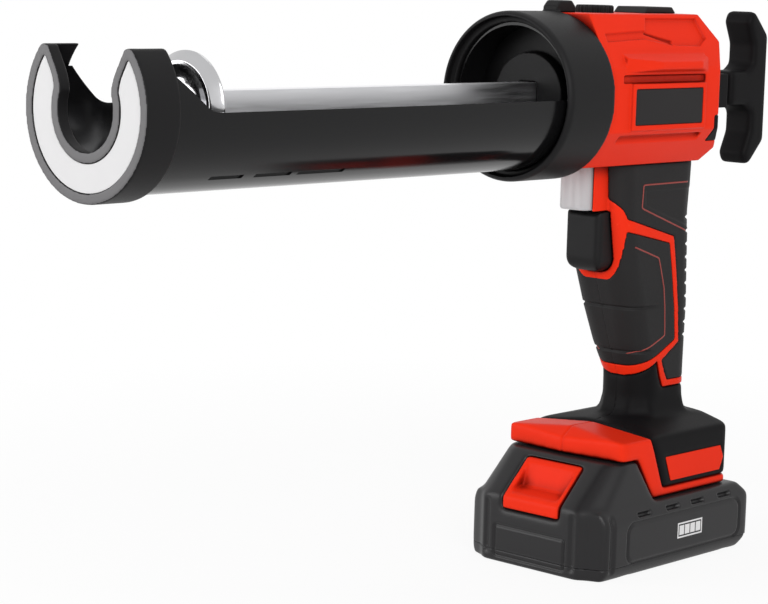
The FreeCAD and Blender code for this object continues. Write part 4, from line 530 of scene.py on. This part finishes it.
def bead(name, route, carrier, side):
    """A thin raised line that follows a side-view route over the carrier's surface."""
    corners = [v.co for v in carrier.data.vertices]
    tree = BVHTree.FromPolygons(corners, [p.vertices for p in carrier.data.polygons])
    line = smooth_line(name, route)
    points = []
    rings = 0
    for place, spot in enumerate(line):
        hit, normal, _, _ = tree.ray_cast(Vector((spot.x, side * BESIDE_GRIP, spot.z)), Vector((0, -side, 0)))
        if hit is None:
            continue
        ahead = line[min(place + 1, len(line) - 1)] - line[max(place - 1, 0)]
        across = normal.cross(ahead).normalized()
        for u, v in GRIP_LINE_PROFILE:
            points.append(hit + across * (u * GRIP_LINE_WIDTH) + normal * (v * GRIP_LINE_PROUD))
        rings += 1
    faces = tube_faces(rings, len(GRIP_LINE_PROFILE))
    mesh = bpy.data.meshes.new(name)
    mesh.from_pydata(points, [], faces)
    mesh.update()
    piece = bpy.data.objects.new(name, mesh)
    mesh.shade_smooth()
    return piece


def grips():
    for side, sign in (("left", -1), ("right", 1)):
        front = moulded(side + "_front_grip", 0.35 * MM, 12, front_grip_press, seam=MIDDLE)
        rear = moulded(side + "_rear_grip", 0.4 * MM, 8, rear_grip_press, seam=MIDDLE)
        for name, route, carrier in (("upper", UPPER_LOOP, rear), ("inner", INNER_LOOP, front)):
            line = bead("%s_%s_grip_line" % (side, name), route, carrier, sign)
            paint(line, "inlay_line")
            link(line, "tool")


# Battery

PANEL_LOW = (-0.0300, 0.0062)
PANEL_HIGH = (0.0565, 0.0245)
PANEL_CORNER = 0.005
PANEL_LINE_DEPTH = 0.9 * MM
PANEL_LINE_HALF = 1.0 * MM
VENT_STARTS = (-0.0218, -0.0003, 0.0188, 0.0399)
VENT_LENGTH = 0.0094
VENT_HEIGHT = 0.0276
VENT_HALF = 0.0009
VENT_EDGE = 0.7 * MM
VENT_DEPTH = 1.9 * MM
PLATE_HALF = 0.0203
PLATE_LOW = 0.0033
PLATE_HIGH = 0.0176
PLATE_CORNER = 1.2 * MM
PLATE_LINE_DEPTH = 0.9 * MM
PLATE_LINE_HALF = 0.9 * MM
PLATE_DEPTH = 0.15 * MM
PLATE_EDGE = 0.6 * MM
COLUMN_LOW = 0.004
COLUMN_HIGH = 0.0290
COLUMN_FADE = 3 * MM
COLUMN_FRONT_Y = 0.0248
COLUMN_FRONT_DEPTH = 0.8 * MM
COLUMN_FRONT_HALF = 2.2 * MM
COLUMN_SIDE_X = -0.0410
COLUMN_SIDE_DEPTH = 1.0 * MM
COLUMN_SIDE_HALF = 2.4 * MM


def battery_press(points, normals):
    """The side panels, the vents above them, the plain plate in front and the corner columns."""
    x, y, z = points.T
    aside = facing(np.abs(normals[:, 1]), least=0.6, blend=0.3)
    panel = box_distance(x, z, PANEL_LOW, PANEL_HIGH, PANEL_CORNER)
    press = PANEL_LINE_DEPTH * dip(panel, PANEL_LINE_HALF) * aside
    slope = facing(np.abs(normals[:, 1]), least=0.3, blend=0.3)
    for start in VENT_STARTS:
        low = (start, VENT_HEIGHT - VENT_HALF)
        high = (start + VENT_LENGTH, VENT_HEIGHT + VENT_HALF)
        vent = box_distance(x, z, low, high, VENT_EDGE)
        press += VENT_DEPTH * step(-vent, VENT_EDGE) * slope
    ahead = facing(-normals[:, 0], least=0.7, blend=0.3)
    plate = box_distance(y, z, (-PLATE_HALF, PLATE_LOW), (PLATE_HALF, PLATE_HIGH), PLATE_CORNER)
    border = PLATE_LINE_DEPTH * dip(plate, PLATE_LINE_HALF)
    press += (border + PLATE_DEPTH * step(-plate, PLATE_EDGE)) * ahead
    wall = step(z - COLUMN_LOW, COLUMN_FADE) * step(COLUMN_HIGH - z, COLUMN_FADE)
    press += COLUMN_FRONT_DEPTH * dip(np.abs(y) - COLUMN_FRONT_Y, COLUMN_FRONT_HALF) * wall * ahead
    press += COLUMN_SIDE_DEPTH * dip(x - COLUMN_SIDE_X, COLUMN_SIDE_HALF) * wall * aside
    return press


BATTERY_FRONT = -0.0525
BATTERY_FRONT_TOP = 0.0315
CREST_FRONT = -0.0325
CREST_TOP = 0.0508
LATCH_TRAVEL = 0.004
POCKET_ROOM = 0.0009
MOUTH_DEPTH = 0.0020


def latch_pocket(points):
    """One on the walls of the latch's pocket, easing to nought at its mouth."""
    low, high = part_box("battery_latch")
    x, y, z = points.T
    slope = (CREST_FRONT - BATTERY_FRONT) / (CREST_TOP - BATTERY_FRONT_TOP)
    depth = x - BATTERY_FRONT - slope * np.maximum(z - BATTERY_FRONT_TOP, 0)
    within = (y > low.y - POCKET_ROOM) & (y < high.y + POCKET_ROOM)
    within &= (z > low.z - POCKET_ROOM) & (z < high.z + POCKET_ROOM)
    within &= x < high.x + LATCH_TRAVEL + POCKET_ROOM
    return step(depth - MOUTH_DEPTH, MOUTH_DEPTH) * within


GAUGE_LOW = (0.0075, 0.0122)
GAUGE_HIGH = (0.0265, 0.0194)
GAUGE_LINE = 0.0007
GAUGE_BARS = 4
GAUGE_LIFT = 0.08 * MM
GAUGE_ROOT = 0.2 * MM


def plate_on_side(outlines, side, y):
    """Flat closed outlines, given in side view, as thin plates lying on a side wall."""
    points, faces = [], []
    for outline in outlines:
        count = len(outline)
        first = len(points)
        for depth in (y - GAUGE_ROOT, y + GAUGE_LIFT):
            points += [(x, side * depth, z) for x, z in outline]
        faces.append([first + k for k in range(count)])
        faces.append([first + 2 * count - 1 - k for k in range(count)])
        faces += [[first + (k + 1) % count, first + k, first + count + k, first + count + (k + 1) % count]
                  for k in range(count)]
    if side > 0:
        faces = [face[::-1] for face in faces]
    return points, faces


def gauge(side):
    """A charge gauge printed on the battery's side: a frame with four bars."""
    (x0, z0), (x1, z1) = GAUGE_LOW, GAUGE_HIGH
    line = GAUGE_LINE
    frame_sides = [
        [(x0, z0), (x1, z0), (x1, z0 + line), (x0, z0 + line)],
        [(x0, z1 - line), (x1, z1 - line), (x1, z1), (x0, z1)],
        [(x0, z0 + line), (x0 + line, z0 + line), (x0 + line, z1 - line), (x0, z1 - line)],
        [(x1 - line, z0 + line), (x1, z0 + line), (x1, z1 - line), (x1 - line, z1 - line)],
    ]
    pitch = (x1 - x0 - 3 * line) / GAUGE_BARS
    bars = []
    for number in range(GAUGE_BARS):
        left = x0 + 2 * line + number * pitch
        right = left + pitch - line
        low, high = z0 + 2 * line, z1 - 2 * line
        bars.append([(left, low), (right, low), (right, high), (left, high)])
    points, faces = plate_on_side(frame_sides + bars, side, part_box("battery_case")[1].y)
    mesh = bpy.data.meshes.new("gauge")
    mesh.from_pydata(points, [], faces)
    mesh.update()
    piece = bpy.data.objects.new("left_gauge" if side < 0 else "right_gauge", mesh)
    paint(piece, "print_white")
    link(piece, "battery")


def battery():
    for node in ("battery_case", "battery_base"):
        moulded(node, 0.6 * MM, 34, battery_press, "battery_black", BATTERY_SEAM, latch_pocket)
    moulded("battery_latch", 0.45 * MM, 18)
    for side in (-1, 1):
        gauge(side)


# Other pieces

FLUTE_PLACE = 0.0010
FLUTE_HALF = 0.0042
FLUTE_DEPTH = 0.6 * MM


def button_press(points, normals):
    """A broad upright hollow in the button's face."""
    ahead = facing(-normals[:, 0], least=0.5, blend=0.4)
    return FLUTE_DEPTH * dip(points[:, 1] - FLUTE_PLACE, FLUTE_HALF) * ahead


DIAL_RIBS = 24
DIAL_RIB_DEPTH = 0.5 * MM


def dial_press(points, normals):
    """Finger ribs round the dial's edge."""
    low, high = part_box("speed_dial")
    x, y = points[:, 0] - (low.x + high.x) / 2, points[:, 1] - (low.y + high.y) / 2
    rib = 0.5 + 0.5 * np.cos(DIAL_RIBS * np.arctan2(y, x))
    around = facing(np.hypot(normals[:, 0], normals[:, 1]), least=0.6, blend=0.4)
    return DIAL_RIB_DEPTH * rib * around


NOSE_RIM_FACING = 0.8
NOSE_RIM_DEPTH = 0.4 * MM


def painted_lit_rim(piece):
    """Paints the nose's front border pale grey, a painted highlight that stands for light falling on its
    front faces.
    """
    piece.data.materials.append(MATERIALS["lit_rim_grey"])
    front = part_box("nose_cap")[0].x + NOSE_RIM_DEPTH
    for face in piece.data.polygons:
        if face.normal.x < -NOSE_RIM_FACING and face.center.x < front:
            face.material_index = 1


DISH_MIDDLE = 0.0112
DISH_HALF = 0.0052
DISH_DEPTH = 1.2 * MM


def piston_press(points, normals):
    """A round channel in the piston's face, between its rim and its screw."""
    low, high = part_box("piston_plate")
    reach = np.hypot(points[:, 1], points[:, 2] - (low.z + high.z) / 2)
    ahead = facing(-normals[:, 0], least=0.5, blend=0.4)
    return DISH_DEPTH * dip(reach - DISH_MIDDLE, DISH_HALF) * ahead


PISTON_RIM_THICKNESS = 0.0016
PISTON_BEVEL_RADIUS = 0.0175


def thin_rim(piece):
    """Tapers the piston's outer part to a thin rim half way along its thickness."""
    low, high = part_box("piston_plate")
    middle = (low + high) / 2
    points, _ = arrays(piece.data)
    reach = np.hypot(points[:, 1], points[:, 2] - middle.z)
    taper = np.clip((reach - PISTON_BEVEL_RADIUS) / (high.y - PISTON_BEVEL_RADIUS), 0, 1)
    spare = 1 - PISTON_RIM_THICKNESS / (high.x - low.x)
    points[:, 0] -= (points[:, 0] - middle.x) * spare * taper
    set_points(piece.data, points)


BODY_PANEL = [(-0.0100, 0.2496), (0.0280, 0.2496), (0.0305, 0.2410), (0.0240, 0.2376),
              (0.0060, 0.2380), (-0.0140, 0.2432)]
BODY_STRIP = [(-0.0430, 0.2428), (-0.0150, 0.2440), (0.0050, 0.2400), (0.0030, 0.2378),
              (-0.0160, 0.2408), (-0.0430, 0.2396)]
BODY_PANEL_DEPTH = 1.4 * MM
BODY_PANEL_EDGE = 1.0 * MM
BODY_STRIP_DEPTH = 1.0 * MM
BODY_STRIP_EDGE = 1.2 * MM


def housing_press(points, normals):
    """Sunk panels on the sloping top flanks."""
    x, z = points[:, 0], points[:, 2]
    upward = facing(normals[:, 2], least=0.22, blend=0.2)
    slope = upward * facing(np.abs(normals[:, 1]), least=0.55, blend=0.2)
    panel = BODY_PANEL_DEPTH * step(-polygon_distance(x, z, BODY_PANEL), BODY_PANEL_EDGE)
    strip = BODY_STRIP_DEPTH * step(-polygon_distance(x, z, BODY_STRIP), BODY_STRIP_EDGE)
    return (panel + strip) * slope


VISOR_BACK = -0.008
VISOR_LOW = 0.0505
VISOR_SEAM_DEPTH = 0.45 * MM
VISOR_SEAM_HALF = 0.7 * MM


def shoe_press(points, normals):
    """The seam down the middle of the visor."""
    outer = facing(np.maximum(normals[:, 2], -normals[:, 0]), least=0.2, blend=0.2)
    visor = (points[:, 0] < VISOR_BACK) & (points[:, 2] > VISOR_LOW)
    return VISOR_SEAM_DEPTH * dip(points[:, 1], VISOR_SEAM_HALF) * outer * visor


def shells():
    """The outer pieces, each with the size of its grid, its rounds of wear and what presses it in."""
    for side in ("left", "right"):
        moulded(side + "_housing", 0.35 * MM, 9, housing_press, seam=MIDDLE)
        moulded(side + "_label_plate", 0.3 * MM, 2)
        moulded(side + "_foot_cover", 0.6 * MM, 34, None, "deep_black", MIDDLE)
        moulded(side + "_foot_inlay", 0.35 * MM, 3)
    moulded("battery_shoe", 0.55 * MM, 22, shoe_press)
    painted_lit_rim(moulded("nose_cap", 0.5 * MM, 5))
    thin_rim(moulded("piston_plate", 0.35 * MM, 3, piston_press))
    moulded("collar", 0.5 * MM, 4)
    moulded("pull_handle", 0.6 * MM, 14, None, "deep_black")
    moulded("trigger", 0.45 * MM, 6)
    moulded("release_button", 0.35 * MM, 4, button_press)
    moulded("top_pad", 0.4 * MM, 6)
    moulded("speed_dial", 0.35 * MM, 3, dial_press)
    moulded("rear_bumper", 0.35 * MM, 3, None, "deep_black")
    moulded("rear_guide", 0.5 * MM, 3, None, "deep_black")
    moulded("front_guide", 0.5 * MM, 3)


SHARP_ANGLE = 32


def finish_nodes():
    """Every solid that still shows gets its finish, with round faces shaded smooth."""
    for node, piece in NODES.items():
        paint(piece, SLOT_OF[node])
        piece.data.shade_smooth()
        piece.data.set_sharp_from_angle(angle=math.radians(SHARP_ANGLE))


# Stage, light and camera

def camera():
    yaw, down, roll = (math.radians(a) for a in (CAMERA_YAW, CAMERA_DOWN, CAMERA_ROLL))
    ahead = Vector((math.sin(yaw) * math.cos(down), math.cos(yaw) * math.cos(down), -math.sin(down)))
    level = Vector((math.cos(yaw), -math.sin(yaw), 0))
    below = ahead.cross(level)
    right = math.cos(roll) * level + math.sin(roll) * below
    under = math.cos(roll) * below - math.sin(roll) * level
    data = bpy.data.cameras.new("camera")
    data.sensor_width = SENSOR
    data.lens = LENS
    data.clip_start = NEAREST_SEEN
    view = bpy.data.objects.new("camera", data)
    bpy.context.scene.collection.objects.link(view)
    turn = Matrix((right, -under, -ahead)).transposed().to_4x4()
    view.matrix_world = Matrix.Translation(CAMERA_PLACE) @ turn
    bpy.context.scene.camera = view


WORLD_LIGHT = 0.42
FLOOR_HALF = 4.0
FLOOR_PALE = (0.92, 0.92, 0.92, 1)
FLOOR_ROUGHNESS = 0.9
FLOOR_SPECULAR = 0.1
FLOOR_NEAR = 0.20
FLOOR_FAR = 0.55
FLOOR_SHADOW = 0.09


def shows_background(tree):
    """One for what the camera sees directly, in a reflection or through glass, and else nought."""
    path = tree.nodes.new("ShaderNodeLightPath")
    seen = path.outputs["Is Camera Ray"]
    for way in ("Is Glossy Ray", "Is Transmission Ray"):
        either = tree.nodes.new("ShaderNodeMath")
        either.operation = "MAXIMUM"
        tree.links.new(seen, either.inputs[0])
        tree.links.new(path.outputs[way], either.inputs[1])
        seen = either.outputs[0]
    return seen


def world():
    sky = bpy.data.worlds.new("studio")
    sky.use_nodes = True
    tree = sky.node_tree
    ground = tree.nodes["Background"]
    ground.inputs["Color"].default_value = (1, 1, 1, 1)
    tree.links.new(ramp(tree, shows_background(tree), 0, 1, WORLD_LIGHT, 1), ground.inputs["Strength"])
    bpy.context.scene.world = sky


def floor():
    """A pale floor that keeps a faint shadow near the tool and turns to plain white further out."""
    mesh = bpy.data.meshes.new("floor")
    corners = [(-1, -1), (1, -1), (1, 1), (-1, 1)]
    mesh.from_pydata([(x * FLOOR_HALF, y * FLOOR_HALF, 0) for x, y in corners], [], [(0, 1, 2, 3)])
    plane = bpy.data.objects.new("floor", mesh)
    bpy.context.scene.collection.objects.link(plane)
    material, tree, shader = nodes_of("pale_floor")
    shader.inputs["Base Color"].default_value = FLOOR_PALE
    shader.inputs["Roughness"].default_value = FLOOR_ROUGHNESS
    shader.inputs["Specular IOR Level"].default_value = FLOOR_SPECULAR
    glow = add(tree, "ShaderNodeEmission", Color=(1, 1, 1, 1), Strength=1.0)
    place = tree.nodes.new("ShaderNodeTexCoord")
    reach = add(tree, "ShaderNodeVectorMath", [(0, place.outputs["Object"])])
    reach.operation = "LENGTH"
    white = ramp(tree, reach.outputs["Value"], FLOOR_NEAR, FLOOR_FAR, 1 - FLOOR_SHADOW, 1)
    share = tree.nodes.new("ShaderNodeMath")
    share.operation = "MULTIPLY"
    tree.links.new(white, share.inputs[0])
    tree.links.new(shows_background(tree), share.inputs[1])
    blend = tree.nodes.new("ShaderNodeMixShader")
    tree.links.new(share.outputs[0], blend.inputs["Fac"])
    tree.links.new(shader.outputs["BSDF"], blend.inputs[1])
    tree.links.new(glow.outputs["Emission"], blend.inputs[2])
    tree.links.new(blend.outputs["Shader"], tree.nodes["Material Output"].inputs["Surface"])
    mesh.materials.append(material)


# Each lamp's name, its place, the point it faces, its width and height, and its watts
LAMPS = (
    ("front_light", (-1.20, 0.90, 0.35), (-0.1, 0, 0.15), (0.9, 0.9), 9.2),
    ("key_light", (-0.95, -1.35, 0.85), (0, 0, 0.15), (0.9, 0.9), 17),
    ("top_light", (0.1, 0.2, 1.7), (0, 0, 0.1), (0.9, 0.7), 3),
)


def lamp(name, place, target, size, watts):
    data = bpy.data.lights.new(name, "AREA")
    data.shape = "RECTANGLE"
    data.size, data.size_y = size
    data.energy = watts
    light = bpy.data.objects.new(name, data)
    bpy.context.scene.collection.objects.link(light)
    light.location = place
    light.rotation_mode = "QUATERNION"
    light.rotation_quaternion = (Vector(target) - Vector(place)).to_track_quat("-Z", "Y")


finish_nodes()
shells()
grips()
battery()
camera()
world()
floor()
for entry in LAMPS:
    lamp(*entry)
bpy.context.scene.view_settings.view_transform = "Standard"
